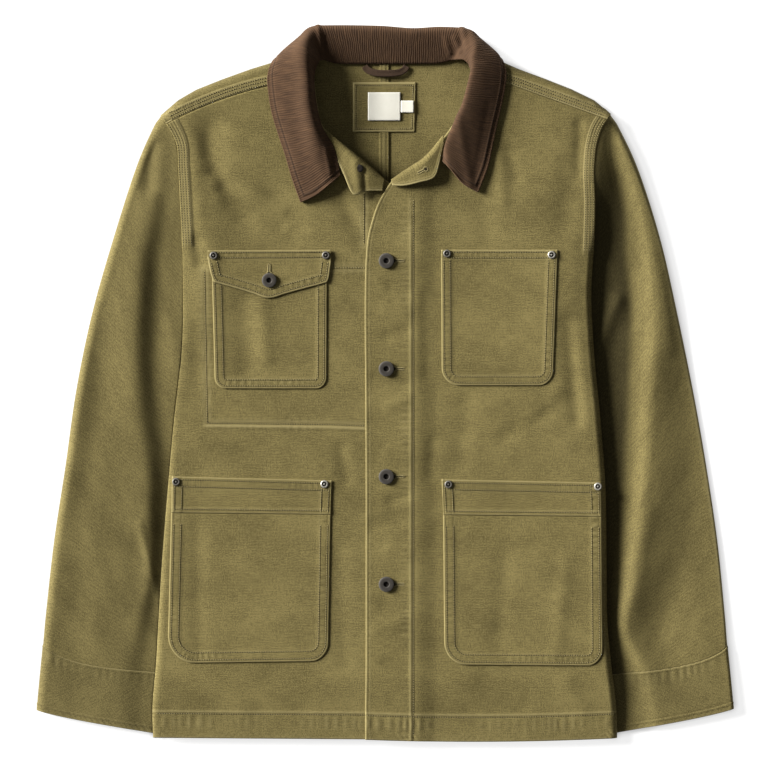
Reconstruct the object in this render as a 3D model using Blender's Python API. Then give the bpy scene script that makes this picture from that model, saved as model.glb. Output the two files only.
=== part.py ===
"""Barn jacket of washed canvas with a corduroy collar, lying flat and face up.

Every cloth piece is a mid surface worked out from short tables of sizes and given its
thickness by a Solidify modifier.  Sizes are in millimetres and are scaled to metres when
a mesh is made.  +X is the wearer's left, +Y runs from the hem to the collar, +Z is up,
and the back panels lie on z = 0.
"""

import math
from collections import namedtuple

import bmesh
import bpy
import numpy as np

MM = 0.001

# Cloth and clearances
CLOTH = 1.2  # canvas, also the collar's corduroy
DOUBLE_CLOTH = 2.2  # two layers turned and stitched together: cuffs and front corners
TAPE = 1.0  # label patch, labels and inside pocket
GAP = 0.3  # clearance between pieces at a seam
STACK = CLOTH + GAP  # from one mid surface to the next one lying on it
COLLAR_EASE = 0.3  # extra clearance between the collar's two layers, for its bends

# Heights of the mid surfaces
FLOOR = CLOTH / 2
LOFT = 16.0  # front panels above the surface that the jacket lies on
HEM_LOFT = 12.0  # front panels at the open hem
HEM_REACH = 70.0  # how far above the hem the front is back at LOFT
LAP_RAISE = 1.9  # left front where it laps over the right front
LAP_FLAT = 35.0  # x where the lap begins to come down
LAP_END = 58.0
FRONT_COLUMNS = [200, 168, 134, 98, LAP_END, LAP_FLAT, 8]  # x of the columns of a front

# Roundings of the folds at the sides and shoulders
FOLD_TOP = 7.0  # how far in from the fold the upper layer levels out
SIDE_UNDER = 18.0  # how far in the back panel reaches the floor
RIDGE_UNDER = 14.0  # the same at the shoulder
ARMHOLE_RISE = 43.0  # the armhole edges part over this height above the underarm
SLEEVE_GAP = 0.6  # clearance of a sleeve along its armhole
SHOULDER_GAP = 0.5  # clearance along the forward shoulder seam
SLEEVE_INNER = 40.0  # width of the sleeve's slope beside the body
ROLL = 6.0  # how soon a turned corner reaches its full lift behind its roll line

CENTRE_BACK = 5.2  # x of the centre back seam
HEM_Y = -382.0
SIDES = {"right": -1, "left": 1}  # the wearer's sides and the sign of their x
UNDERARM = {"right": 147.3, "left": 140.8}

# Outer edge of the body panels: side fold up to the underarm, then the armhole seam
BodyEdge = namedtuple("BodyEdge", "y right left")
BODY_EDGE = [
    BodyEdge(-385, -247.8, 250.6),
    BodyEdge(-350, -248.6, 249.6),
    BodyEdge(-300, -244.6, 243.8),
    BodyEdge(-257, -242.2, 239.9),
    BodyEdge(-200, -238.8, 239.0),
    BodyEdge(-103, -231.2, 237.4),
    BodyEdge(-40, -225.5, 232.5),
    BodyEdge(48, -216.4, 224.6),
    BodyEdge(100, -215.8, 222.6),
    BodyEdge(145, -216.5, 225.2),
    BodyEdge(195, -218.9, 226.6),
    BodyEdge(232, -221.0, 225.8),
    BodyEdge(261, -223.8, 229.4),
    BodyEdge(275, -231.0, 234.2),
    BodyEdge(291, -242.5, 244.8),
]

# Largest soft folds of the upper layers: a line, its half width and its height
Fold = namedtuple("Fold", "piece x1 y1 x2 y2 width height")
FOLDS = [
    Fold("front_right", -196, 268, -192, 222, 16, -2.6),
    Fold("front_right", -168, 206, -150, 180, 16, -1.8),
    Fold("front_right", -118, 200, -96, 168, 15, -1.8),
    Fold("front_left", 150, 262, 168, 190, 22, 1.6),
    Fold("front_left", 205, 236, 196, 176, 16, -1.8),
    Fold("sleeve_right", -244, 226, -253, 112, 14, -5.0),
    Fold("sleeve_right", -253, 112, -260, 30, 15, -3.0),
    Fold("sleeve_right", -300, -40, -318, -160, 20, 1.8),
    Fold("sleeve_left", 243, 262, 242, 190, 13, -8.0),
    Fold("sleeve_left", 242, 190, 240, 120, 14, -5.0),
    Fold("sleeve_left", 290, 60, 308, -80, 18, 2.0),
    Fold("sleeve_left", 300, -130, 318, -230, 18, 1.8),
]

# Front panels, hem to shoulder seam: where a row starts and ends, and its upward bow
FrontRow = namedtuple("FrontRow", "outer_y inner_x inner_y bow")
FRONT = {
    "right": [
        FrontRow(-380, 28, -382, 0),
        FrontRow(-345, 28, -346, 0),
        FrontRow(-300, 28, -300, 0),
        FrontRow(-200, 28, -200, 0),
        FrontRow(-100, 28, -100, 0),
        FrontRow(0, 28, 0, 0),
        FrontRow(90, 28, 90, 0),
        FrontRow(147.3, 28, 150, 0),
        FrontRow(172, 26, 184, 0),
        FrontRow(196, 14, 208, 0),
        FrontRow(218, -8, 226.6, 0),
        FrontRow(236, -36, 250.7, 0),
        FrontRow(250, -64.5, 275.2, 0),
        FrontRow(264, -71.5, 300, 3),
        FrontRow(279, -75, 327, 9),
    ],
    "left": [
        FrontRow(-380.5, -20, -382, -3),
        FrontRow(-345, -20, -346, -2),
        FrontRow(-300, -19.5, -300, 0),
        FrontRow(-200, -19.5, -200, 0),
        FrontRow(-100, -19.5, -100, 0),
        FrontRow(0, -20, 0, 0),
        FrontRow(90, -20.5, 90, 0),
        FrontRow(140.8, -18.5, 147, 0),
        FrontRow(168, -12, 178, 0),
        FrontRow(192, -2.6, 201, 0),
        FrontRow(210, 13.4, 223, 0),
        FrontRow(225, 40.6, 240.8, 0),
        FrontRow(240, 62, 262.3, 0),
        FrontRow(252, 76, 282, 0),
        FrontRow(266, 88, 306, 0),
        FrontRow(284, 95, 336, 0),
    ],
}

# Top of a back panel, centre seam to armhole: the neckline on the floor (no rise), the
# corner where it climbs, and the shoulder fold that wraps forward to the shoulder seam
BackTop = namedtuple("BackTop", "p x y rise extent")
BACK_TOP = {
    "right": [
        BackTop(0.0, CENTRE_BACK - GAP / 2, 346, 0, 0.4),
        BackTop(0.5, -30, 346, 0, 0.4),
        BackTop(1.0, -60, 347, 0, 0.4),
        BackTop(1.25, -66, 349.5, 0.5, 0.5),
        BackTop(1.5, -70.5, 352.5, 0.85, 0.65),
        BackTop(1.75, -74.5, 355, 1, 0.82),
        BackTop(2.0, -78, 357, 1, 1),
        BackTop(2.14, -100, 352, 1, 1),
        BackTop(2.26, -119.3, 345.6, 1, 1),
        BackTop(2.42, -144, 338, 1, 1),
        BackTop(2.61, -175, 326.8, 1, 1),
        BackTop(2.78, -202, 316, 1, 1),
        BackTop(2.9, -221, 305, 1, 1),
        BackTop(3.0, -240.2, 288.3, 1, 1),
    ],
    "left": [
        BackTop(0.0, CENTRE_BACK + GAP / 2, 346, 0, 0.4),
        BackTop(0.5, 40, 346.5, 0, 0.4),
        BackTop(1.0, 74, 349, 0, 0.4),
        BackTop(1.25, 81, 351.5, 0.5, 0.5),
        BackTop(1.5, 86.5, 354.5, 0.85, 0.65),
        BackTop(1.75, 92, 357, 1, 0.82),
        BackTop(2.0, 97, 359, 1, 1),
        BackTop(2.2, 124.7, 347.2, 1, 1),
        BackTop(2.34, 144, 338.6, 1, 1),
        BackTop(2.53, 172.6, 328, 1, 1),
        BackTop(2.73, 201.5, 316.6, 1, 1),
        BackTop(2.9, 226.4, 304.5, 1, 1),
        BackTop(3.0, 243.6, 289.8, 1, 1),
    ],
}

# Sleeves, armhole to cuff hem: outer fold, y of the inner fold, how far the inner fold
# is tucked under the body, the heights and the sag of a ring along the sleeve
SleeveRing = namedtuple("SleeveRing", "outer_x outer_y inner_y tuck crest mid_out mid_in sag")
SLEEVE = {
    "right": [
        SleeveRing(-242.4, 289, 147.3, -0.3, 16, 8.3, 8.3, 0),
        SleeveRing(-264.5, 237.6, 128, -2.0, 17, 8.3, 6.5, 0),
        SleeveRing(-289.6, 159, 92, -1.4, 17.5, 8.3, 3.6, 0),
        SleeveRing(-312.8, 77.4, 40, -1.1, 17.5, 8.3, 2.3, 0),
        SleeveRing(-330, -5, -30, -1.0, 17, 8.0, 2.2, 0),
        SleeveRing(-342, -88, -105, -1.0, 16.5, 8.0, 2.2, 0),
        SleeveRing(-354.2, -168, -182, -1.0, 16, 7.5, 2.2, 0),
        SleeveRing(-363, -245, -262, -1.0, 15, 7.0, 2.2, 4),
        SleeveRing(-366.3, -280.6, -311, -1.2, 14, 7.0, 2.3, 10),
        SleeveRing(-373, -350.5, -375.7, -1.4, 12.5, 6.5, 3.2, 2),
    ],
    "left": [
        SleeveRing(246, 290.6, 140.8, -0.3, 16, 8.3, 8.3, 0),
        SleeveRing(272.5, 233.3, 122, -2.0, 17, 8.3, 6.5, 0),
        SleeveRing(297, 156, 88, -1.4, 17.5, 8.3, 3.6, 0),
        SleeveRing(314.5, 80, 40, -1.1, 17.5, 8.3, 2.3, 0),
        SleeveRing(332, -5, -28, -1.0, 17, 8.0, 2.2, 0),
        SleeveRing(346, -84, -102, -1.0, 16.5, 8.0, 2.2, 0),
        SleeveRing(358.5, -168, -182, -1.0, 16, 7.5, 2.2, 0),
        SleeveRing(366.5, -247, -262, -1.0, 15, 7.0, 2.2, 4),
        SleeveRing(369.3, -282, -314, -1.2, 14, 7.0, 2.3, 10),
        SleeveRing(375.8, -349.4, -376, -1.4, 12.5, 6.5, 3.2, 2),
    ],
}
CUFF_SEAM = 8  # the row of SLEEVE where the cuff starts

# Collar from its right front end round the neck to its left front end: the neck seam,
# the crest of the roll, the widest line of the fall, and its outer edge
CollarStation = namedtuple(
    "CollarStation",
    "neck_x neck_y neck_z roll_x roll_y roll_z side_x side_y side_z edge_x edge_y edge_z",
)
COLLAR = [
    CollarStation(-46.8, 224.5, 22.6, -58, 214.5, 25.5, -74, 202, 22.5, -89.4, 195, 19.6),
    CollarStation(-49.5, 240, 22, -66, 236, 28, -84, 226, 24, -98.4, 220, 19.6),
    CollarStation(-55.5, 257, 21, -72, 254, 30, -92, 247, 25, -106, 246, 19.6),
    CollarStation(-66.5, 276, 19.8, -77.4, 276, 31, -98, 272, 25.5, -114, 270, 19.6),
    CollarStation(-72.5, 300, 19.3, -82.3, 300, 32, -103, 297, 26, -121, 294, 19.6),
    CollarStation(-75, 322, 19.2, -84, 324, 31.5, -106, 322, 26, -124.7, 320, 19.6),
    CollarStation(-74.5, 333, 19.3, -86, 341, 30.8, -110, 339, 24.5, -125, 334, 19.5),
    CollarStation(-73.5, 338, 19.3, -87, 349.5, 30, -112, 348.5, 22, -123, 349, 16.8),
    CollarStation(-72, 342, 19, -87.5, 355, 29, -113, 352, 18, -120.5, 351, 8),
    CollarStation(-69, 347, 16, -87, 363, 26, -105, 361.5, 13, -104, 357.5, 1.4),
    CollarStation(-64, 348.5, 8.5, -82, 372, 21, -92, 372.5, 10.5, -86, 362.5, 1.2),
    CollarStation(-58, 347, 4.6, -74, 379, 16.5, -79, 382, 8.5, -67, 361, 1.2),
    CollarStation(-46, 345, 3.8, -55, 380, 14, -56, 383.5, 8, -50, 358, 1.2),
    CollarStation(-5, 345, 3.8, -5, 379, 14, -5, 383, 8, -5, 357, 1.2),
    CollarStation(30, 345, 3.8, 30, 377, 14, 30.6, 380.5, 8, 30, 356, 1.2),
    CollarStation(58, 345.5, 3.8, 60, 378.5, 14, 61, 382, 8, 58, 358, 1.2),
    CollarStation(72, 348.5, 4.6, 86, 377, 16.5, 91, 380, 8.5, 80, 363, 1.2),
    CollarStation(78, 349, 9.3, 95, 370.5, 21, 104, 371, 10.5, 97, 365, 1.2),
    CollarStation(84.8, 348.4, 16.4, 99, 362, 26, 114, 362.5, 13, 113, 358, 1.4),
    CollarStation(90, 344.5, 19, 98.5, 353, 29, 122, 353.5, 18, 128, 351, 8),
    CollarStation(92, 340, 19.3, 98, 346, 30, 121.5, 347.5, 22.5, 130.8, 349.5, 17),
    CollarStation(93.3, 334, 19.3, 97, 338, 30.8, 118.5, 337, 25, 131.2, 335, 19.5),
    CollarStation(90, 320, 19.2, 92.5, 318, 31.5, 114, 317, 25.5, 129.6, 318, 19.6),
    CollarStation(85, 303, 19.2, 88, 300, 31.5, 110, 298, 25.5, 125.6, 298, 19.6),
    CollarStation(78.5, 287, 19.5, 82.5, 284, 31, 105, 277, 25, 120.5, 276, 19.6),
    CollarStation(71.5, 272, 20.3, 75.5, 268, 30, 99, 258, 24.5, 116, 254, 19.6),
    CollarStation(65.5, 256, 21.8, 69.5, 251, 28.5, 92, 238, 23.5, 111, 232, 19.6),
    CollarStation(62.8, 239.5, 22.6, 71.5, 230, 26, 85, 214.5, 22.5, 101, 205.8, 19.6),
]
ACROSS_COLLAR = [0.0, 0.42, 0.72, 1.0]  # where the four guide lines lie across the strip

# Top corners of the fronts, turned outward: roll line, free edge and lift off the front
CornerRow = namedtuple("CornerRow", "roll_x roll_y free_x free_y lift")
TURNED_CORNER = {
    "right": [
        CornerRow(-61, 271, -58.5, 266, 1.0),
        CornerRow(-54, 265, -51.5, 255, 2.5),
        CornerRow(-45, 257.5, -45.8, 241, 4.5),
        CornerRow(-34.6, 249.4, -42.5, 226, 6),
        CornerRow(-24.4, 241, -33, 203.5, 6),
        CornerRow(-11.6, 230, -22, 207.5, 5),
        CornerRow(-1.5, 220, -6, 208.5, 1.5),
    ],
    "left": [
        CornerRow(8, 218.5, 9, 213.5, 0.8),
        CornerRow(18, 225.5, 22, 213, 2.5),
        CornerRow(30, 233.5, 38, 216.4, 4.0),
        CornerRow(41, 240.6, 53.5, 221.5, 6.0),
        CornerRow(51, 250.3, 58.5, 235, 5.0),
        CornerRow(58, 259, 61, 248, 3.0),
        CornerRow(64, 266.5, 63.8, 260, 1.0),
    ],
}

# Patch pockets by their corners (upper and lower, wearer's right to left as seen) and
# the radii of the lower corners
Patch = namedtuple("Patch", "side ul_x ul_y ur_x ur_y ll_x ll_y lr_x lr_y radius_l radius_r")
PATCHES = {
    "chest_pocket_right": Patch("right", -184.9, 134, -61, 134, -181.4, -5, -61.7, -5, 12, 12),
    "chest_pocket_left": Patch("left", 61.5, 144, 186.4, 144, 62.1, -1.6, 181.2, -1.6, 19, 16),
    "lower_pocket_right": Patch(
        "right", -228.4, -138.6, -57.2, -140.4, -232.4, -299.5, -60, -297.8, 30, 20
    ),
    "lower_pocket_left": Patch(
        "left", 63.6, -140.8, 233.8, -142.6, 65, -301.5, 234.8, -302.5, 24, 18
    ),
}
BANDS = {
    "lower_pocket_band_right": Patch(
        "right", -227.6, -99.2, -55.9, -103.6, -228.4, -138.2, -57.2, -140, 0, 0
    ),
    "lower_pocket_band_left": Patch(
        "left", 61.9, -102.4, 233.0, -105.9, 63.6, -140.4, 233.8, -142.2, 0, 0
    ),
}
INSIDE_POCKET = Patch("right", -192.7, 124.5, -24, 124.5, -190, -43, -24, -45, 4, 4)

# Flap of the right chest pocket, from its outer to its inner end: top and bottom edges
FlapRow = namedtuple("FlapRow", "x top_y bottom_y")
FLAP = [
    FlapRow(-189.0, 143.2, 136.0),
    FlapRow(-186.5, 143.2, 122.0),
    FlapRow(-182.8, 143.3, 110.6),
    FlapRow(-178.5, 143.3, 108.4),
    FlapRow(-160.0, 143.4, 103.2),
    FlapRow(-141.0, 143.5, 97.4),
    FlapRow(-123.6, 143.6, 92.2),
    FlapRow(-105.0, 143.7, 97.2),
    FlapRow(-84.0, 143.8, 103.0),
    FlapRow(-66.0, 143.9, 107.8),
    FlapRow(-60.6, 143.9, 110.6),
    FlapRow(-58.4, 144.0, 122.0),
    FlapRow(-56.7, 144.0, 136.0),
]

# Hard trims: place, diameter and the piece that carries each
Trim = namedtuple("Trim", "name x y diameter carrier")
BUTTONS = [
    Trim("button_2", 2.5, 132.2, 16.5, "front_left"),
    Trim("button_3", 2.5, 16.3, 16.5, "front_left"),
    Trim("button_4", 2.5, -99.4, 16.5, "front_left"),
    Trim("button_5", 2.5, -214.9, 16.5, "front_left"),
    Trim("flap_button", -123.2, 111.3, 15.8, "flap"),
    Trim("button_1", -27.6, 228.4, 15.2, "front_right"),
]
RIVETS = [
    Trim("rivet_flap_outer", -182.8, 137.8, 8.6, "flap"),
    Trim("rivet_flap_inner", -62.4, 138.2, 8.6, "flap"),
    Trim("rivet_chest_inner", 67.7, 140, 8.6, "patch_left"),
    Trim("rivet_chest_outer", 179.8, 138.6, 8.6, "patch_left"),
    Trim("rivet_lower_right_outer", -223.2, -104.9, 8.6, "patch_right"),
    Trim("rivet_lower_right_inner", -64, -107.4, 8.6, "patch_right"),
    Trim("rivet_lower_left_inner", 69.2, -107.8, 8.6, "patch_left"),
    Trim("rivet_lower_left_outer", 229.6, -110, 8.6, "patch_left"),
]
TACK_BACK = Trim("button_1_back", -26, 230.4, 8.5, "corner")
BUTTON_HEIGHT = 3.0
TOP_BUTTON_HEIGHT = 2.4  # lies face down under the turned corner
RIVET_HEIGHT = 1.8

# Patch, labels and hanger loop inside the back of the neck
LABEL_PATCH = (-33.4, 271.6, 34.4, 325)
LABEL = (-17.3, 283.8, 17.8, 314.2)
SIZE_TAB = (18.1, 292.4, 32.2, 305.3)
LoopPoint = namedtuple("LoopPoint", "x y z")
HANGER_LOOP = [
    LoopPoint(-20.6, 342.6, 2.6),
    LoopPoint(-18.4, 339, 3.2),
    LoopPoint(-13, 336, 4.4),
    LoopPoint(-4, 334.6, 5.2),
    LoopPoint(8, 334.6, 5.2),
    LoopPoint(17, 335.8, 4.4),
    LoopPoint(22, 338.8, 3.2),
    LoopPoint(24.4, 342.6, 2.6),
]
LOOP_WIDTH = 6.5
LOOP_THICK = 1.6


# ---- curves and profiles -------------------------------------------------------------


def smooth_curve(knots, values, at):
    """Cubic curve through the rows, its slope at a row taken from the rows beside it."""
    knots = np.asarray(knots, float)
    values = np.asarray(values, float)
    slopes = np.gradient(values, knots)
    at = np.clip(at, knots[0], knots[-1])
    left = np.clip(np.searchsorted(knots, at, side="right") - 1, 0, len(knots) - 2)
    width = knots[left + 1] - knots[left]
    t = (at - knots[left]) / width
    start = (1 + 2 * t) * (1 - t) ** 2 * values[left]
    finish = t**2 * (3 - 2 * t) * values[left + 1]
    leaning = t * (1 - t) * ((1 - t) * slopes[left] - t * slopes[left + 1]) * width
    return start + finish + leaning


def column(rows, name):
    return np.array([getattr(row, name) for row in rows], float)


def along(rows, name, at):
    """One column of a table as a smooth curve over the row number."""
    return smooth_curve(np.arange(len(rows)), column(rows, name), at)


def round_off(distance, radius):
    """0 at an edge, rising like a quarter circle to 1 at one radius in."""
    q = np.clip(distance / radius, 0, 1)
    return np.sqrt(np.clip(1 - (1 - q) ** 2, 0, 1))


def ease(q):
    q = np.clip(q, 0, 1)
    return q * q * (3 - 2 * q)


def mix(a, b, t):
    return a + (b - a) * t


def folds(piece, x, y):
    """Sum of a piece's soft folds, each a bell across its line and round at its ends."""
    total = np.zeros(np.broadcast(x, y).shape)
    for fold in FOLDS:
        if fold.piece != piece:
            continue
        run_x, run_y = fold.x2 - fold.x1, fold.y2 - fold.y1
        share = (x - fold.x1) * run_x + (y - fold.y1) * run_y
        share = np.clip(share / (run_x**2 + run_y**2), 0, 1)
        away = np.hypot(x - fold.x1 - share * run_x, y - fold.y1 - share * run_y)
        total = total + fold.height * np.exp(-((away / fold.width) ** 2))
    return total


# ---- heights of the body -------------------------------------------------------------


def body_edge(side, y):
    """x of the body's side fold or armhole seam at the height y."""
    return smooth_curve(column(BODY_EDGE, "y"), column(BODY_EDGE, side), y)


def loft(y):
    return mix(HEM_LOFT, LOFT, ease((y - HEM_Y) / HEM_REACH))


def side_seam(y):
    return (loft(y) + FLOOR) / 2


def parting(side, y):
    """0 where front and back meet at the side, 1 where the armhole holds them apart."""
    return round_off(y - UNDERARM[side], ARMHOLE_RISE)


def front_height(side, x, y):
    """Mid surface of a front panel: level, and rounded down at its outer edge."""
    inside = np.abs(body_edge(side, y)) - np.abs(x)
    top = loft(y) + folds(f"front_{side}", x, y) * ease(inside / 24)
    seam = side_seam(y) + GAP
    edge = mix(seam, top, parting(side, y))
    height = mix(edge, top, round_off(inside, FOLD_TOP))
    if side == "left":
        height = height + LAP_RAISE * ease((LAP_END - x) / (LAP_END - LAP_FLAT))
    return height


def back_height(side, x, y):
    """Mid surface of a back panel: on the floor, and rounded up at its outer edge."""
    inside = np.abs(body_edge(side, y)) - np.abs(x)
    seam = side_seam(y) - GAP
    edge = mix(seam, FLOOR, parting(side, y))
    return mix(edge, FLOOR, round_off(inside, SIDE_UNDER))


# ---- cloth pieces as mid surfaces ----------------------------------------------------


def front_panel(side, v, u):
    """Rows run from the side or armhole (u = 0) to the front edge, roll line or neck."""
    rows = FRONT[side]
    u, v = np.meshgrid(u, v)
    outer_y = along(rows, "outer_y", v)
    outer_x = body_edge(side, outer_y) - SIDES[side] * GAP / 2
    x = mix(outer_x, along(rows, "inner_x", v), u)
    y = mix(outer_y, along(rows, "inner_y", v), u)
    y = y + along(rows, "bow", v) * 4 * u * (1 - u)
    return np.stack([x, y, front_height(side, x, y)], axis=-1)


def shoulder_seam(side, c):
    """Points of the forward shoulder seam, from the neck (c = 0) to the armhole."""
    top = FRONT[side][-1]
    outer_x = body_edge(side, top.outer_y)
    x = mix(top.inner_x, outer_x, c)
    y = mix(top.inner_y, top.outer_y, c) + top.bow * 4 * c * (1 - c) + SHOULDER_GAP
    return x, y


def back_panel(side, v, p, q):
    """Rows v climb from the hem to the foot of the shoulder fold; rows q wrap over it."""
    rows = BACK_TOP[side]
    knots = column(rows, "p")
    top_x = np.interp(p, knots, column(rows, "x"))
    top_y = np.interp(p, knots, column(rows, "y"))
    rise = np.interp(p, knots, column(rows, "rise"))
    extent = np.interp(p, knots, column(rows, "extent"))
    seam_x, seam_y = shoulder_seam(side, np.clip(p - 2, 0, 1))
    span = np.hypot(seam_x - top_x, seam_y - top_y)
    level_at = np.minimum(FOLD_TOP, 0.6 * span)
    in_x = (seam_x - top_x) / span * rise
    in_y = (seam_y - top_y) / span * rise - (1 - rise)
    foot_x = top_x + in_x * RIDGE_UNDER
    foot_y = top_y + in_y * RIDGE_UNDER

    share = (top_x - top_x[0]) / (top_x[-1] - top_x[0])
    outer_y = mix(-380, foot_y[-1], v)[:, None]
    inner_y = mix(HEM_Y, foot_y[0], v)[:, None]
    outer_x = body_edge(side, outer_y) - SIDES[side] * GAP / 2
    x = mix(top_x[0], outer_x, share[None, :])
    y = mix(inner_y, outer_y, share[None, :])
    pull = ease((v[:, None] - 0.6) / 0.4)
    x = x + pull * (foot_x - x[-1])
    y = y + pull * (foot_y - y[-1])
    z = back_height(side, x, y)
    flat = np.stack([x, y, z], axis=-1)

    reach = q[:, None] * extent
    turn = np.clip(reach / 0.4, 0, 1) * math.pi / 2
    over = np.clip((reach - 0.4) / 0.25, 0, 1) * math.pi / 2
    strip = np.clip((reach - 0.65) / 0.35, 0, 1)
    inward = np.where(
        reach < 0.4,
        RIDGE_UNDER * (1 - np.sin(turn)),
        level_at * (1 - np.cos(over)),
    )
    half = (LOFT - FLOOR) / 2
    lift = rise * half * (1 - np.cos(turn) + np.sin(over))
    wrap_x = mix(top_x + in_x * inward, seam_x, strip)
    wrap_y = mix(top_y + in_y * inward, seam_y, strip)
    wrap = np.stack([wrap_x, wrap_y, FLOOR + lift], axis=-1)
    return np.concatenate([flat, wrap])


def sleeve_ring(side, v, t, upper, floor=FLOOR):
    """One layer of the sleeve: t runs from the outer fold to the inner fold."""
    rows = SLEEVE[side]
    sign = SIDES[side]
    t, v = np.meshgrid(t, v)
    outer_x = along(rows, "outer_x", v)
    outer_y = along(rows, "outer_y", v)
    inner_y = along(rows, "inner_y", v)
    inner_x = body_edge(side, inner_y) - sign * along(rows, "tuck", v)
    x = mix(outer_x, inner_x, t)
    y = mix(outer_y, inner_y, t)
    width = np.hypot(outer_x - inner_x, outer_y - inner_y)

    armhole_y = mix(rows[0].outer_y, UNDERARM[side], t)
    straight = mix(rows[0].outer_x, body_edge(side, UNDERARM[side]), t)
    hollow = body_edge(side, armhole_y) - straight
    clear = SLEEVE_GAP + 0.7 * (1 - parting(side, armhole_y))
    fade = np.clip(1 - v / 2.2, 0, 1) ** 2
    x = x + fade * (hollow + sign * clear)
    y = y - along(rows, "sag", v) * np.sin(math.pi * t**0.6)

    near_armhole = np.clip(1 - v / 2, 0, 1)
    middle = mix(along(rows, "mid_out", v), along(rows, "mid_in", v), t)
    outer, inner = t * width, (1 - t) * width
    if upper:
        out_fold = mix(12.0, FOLD_TOP, near_armhole)
        level = round_off(outer, out_fold) * round_off(inner, SLEEVE_INNER)
        crest = along(rows, "crest", v) + folds(f"sleeve_{side}", x, y) * ease(v / 0.6)
        return np.stack([x, y, mix(middle, crest, level)], axis=-1)
    level = round_off(outer, RIDGE_UNDER) * round_off(inner, mix(10.0, 43.0, near_armhole))
    return np.stack([x, y, mix(middle, floor, level)], axis=-1)


def sleeve_tube(side, v, floor=FLOOR):
    """Closed rings: over the top from the outer to the inner fold, and back below."""
    over = np.array(
        [0, 0.006, 0.026, 0.08, 0.18, 0.32, 0.48, 0.64, 0.77, 0.87, 0.94, 0.985]
    )
    below = np.array([1, 0.98, 0.9, 0.7, 0.4, 0.12, 0.035, 0.008])
    upper = sleeve_ring(side, v, over, True, floor)
    lower = sleeve_ring(side, v, below, False, floor)
    return np.concatenate([upper, lower], axis=1)


def collar_surface(s, t):
    """Top collar: across the strip from the neck seam over the roll to the outer edge."""
    guides = []
    for place in ("neck", "roll", "side", "edge"):
        guides.append(np.stack([along(COLLAR, f"{place}_{axis}", s) for axis in "xyz"]))
    guides = np.stack(guides)
    surface = np.empty((len(s), len(t), 3))
    for station in range(len(s)):
        for axis in range(3):
            line = guides[:, axis, station]
            surface[station, :, axis] = smooth_curve(ACROSS_COLLAR, line, t)
    return surface


def patch_plan(patch, u, v):
    """Plan of a pocket: v climbs from the bottom, whose corners are rounded."""
    u, v = np.meshgrid(u, v)
    left_x = mix(patch.ll_x, patch.ul_x, v)
    right_x = mix(patch.lr_x, patch.ur_x, v)
    bottom_y = mix(patch.ll_y, patch.lr_y, u)
    y = mix(bottom_y, mix(patch.ul_y, patch.ur_y, u), v)
    rise = y - bottom_y
    if patch.radius_l:
        left_x = left_x + patch.radius_l * (1 - round_off(rise, patch.radius_l))
        right_x = right_x - patch.radius_r * (1 - round_off(rise, patch.radius_r))
    return mix(left_x, right_x, u), y


def patch_surface(patch, u, v, layers):
    """A pocket lies on its front panel, so it takes the panel's height, moved out."""
    x, y = patch_plan(patch, u, v)
    return np.stack([x, y, front_height(patch.side, x, y) + layers * STACK], axis=-1)


def flap_surface(v):
    x = np.broadcast_to(column(FLAP, "x"), (len(v), len(FLAP)))
    y = mix(column(FLAP, "bottom_y"), column(FLAP, "top_y"), v[:, None])
    return np.stack([x, y, front_height("right", x, y) + 2 * STACK], axis=-1)


def turned_corner(side, v, u):
    """The front's top corner rolls over its own edge and lies outward on the panel."""
    rows = TURNED_CORNER[side]
    u, v = np.meshgrid(u, v)
    x = mix(along(rows, "roll_x", v), along(rows, "free_x", v), u)
    y = mix(along(rows, "roll_y", v), along(rows, "free_y", v), u)
    base = front_height(side, x, y) + CLOTH / 2 + GAP + DOUBLE_CLOTH / 2
    depth = np.hypot(x - x[:, :1], y - y[:, :1])
    return np.stack([x, y, base + along(rows, "lift", v) * round_off(depth, ROLL)], axis=-1)


def flat_patch(corners, z, columns=2, rows=2):
    low_x, low_y, high_x, high_y = corners
    x, y = np.meshgrid(np.linspace(low_x, high_x, columns), np.linspace(low_y, high_y, rows))
    return np.stack([x, y, np.full_like(x, z)], axis=-1)


def loop_surface():
    """A tape of constant width carried along the hanger loop's route."""
    at = np.linspace(0, len(HANGER_LOOP) - 1, 11)
    line = np.stack([along(HANGER_LOOP, axis, at) for axis in "xyz"], axis=-1)
    run = np.gradient(line[:, :2], axis=0)
    run /= np.linalg.norm(run, axis=1)[:, None]
    across = np.stack([run[:, 1], -run[:, 0], np.zeros(len(at))], axis=-1)
    offsets = np.linspace(-LOOP_WIDTH / 2, LOOP_WIDTH / 2, 2)
    return line[:, None, :] + across[:, None, :] * offsets[None, :, None]


# ---- meshes --------------------------------------------------------------------------


def material(name, colour, roughness, metallic=0.0):
    made = bpy.data.materials.new(name)
    made.use_nodes = True
    shader = made.node_tree.nodes["Principled BSDF"]
    shader.inputs["Base Color"].default_value = (*colour, 1)
    shader.inputs["Roughness"].default_value = roughness
    shader.inputs["Metallic"].default_value = metallic
    return made


def add_object(name, mesh, finish):
    mesh.materials.append(finish)
    made = bpy.data.objects.new(name, mesh)
    bpy.context.collection.objects.link(made)
    return made


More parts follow.
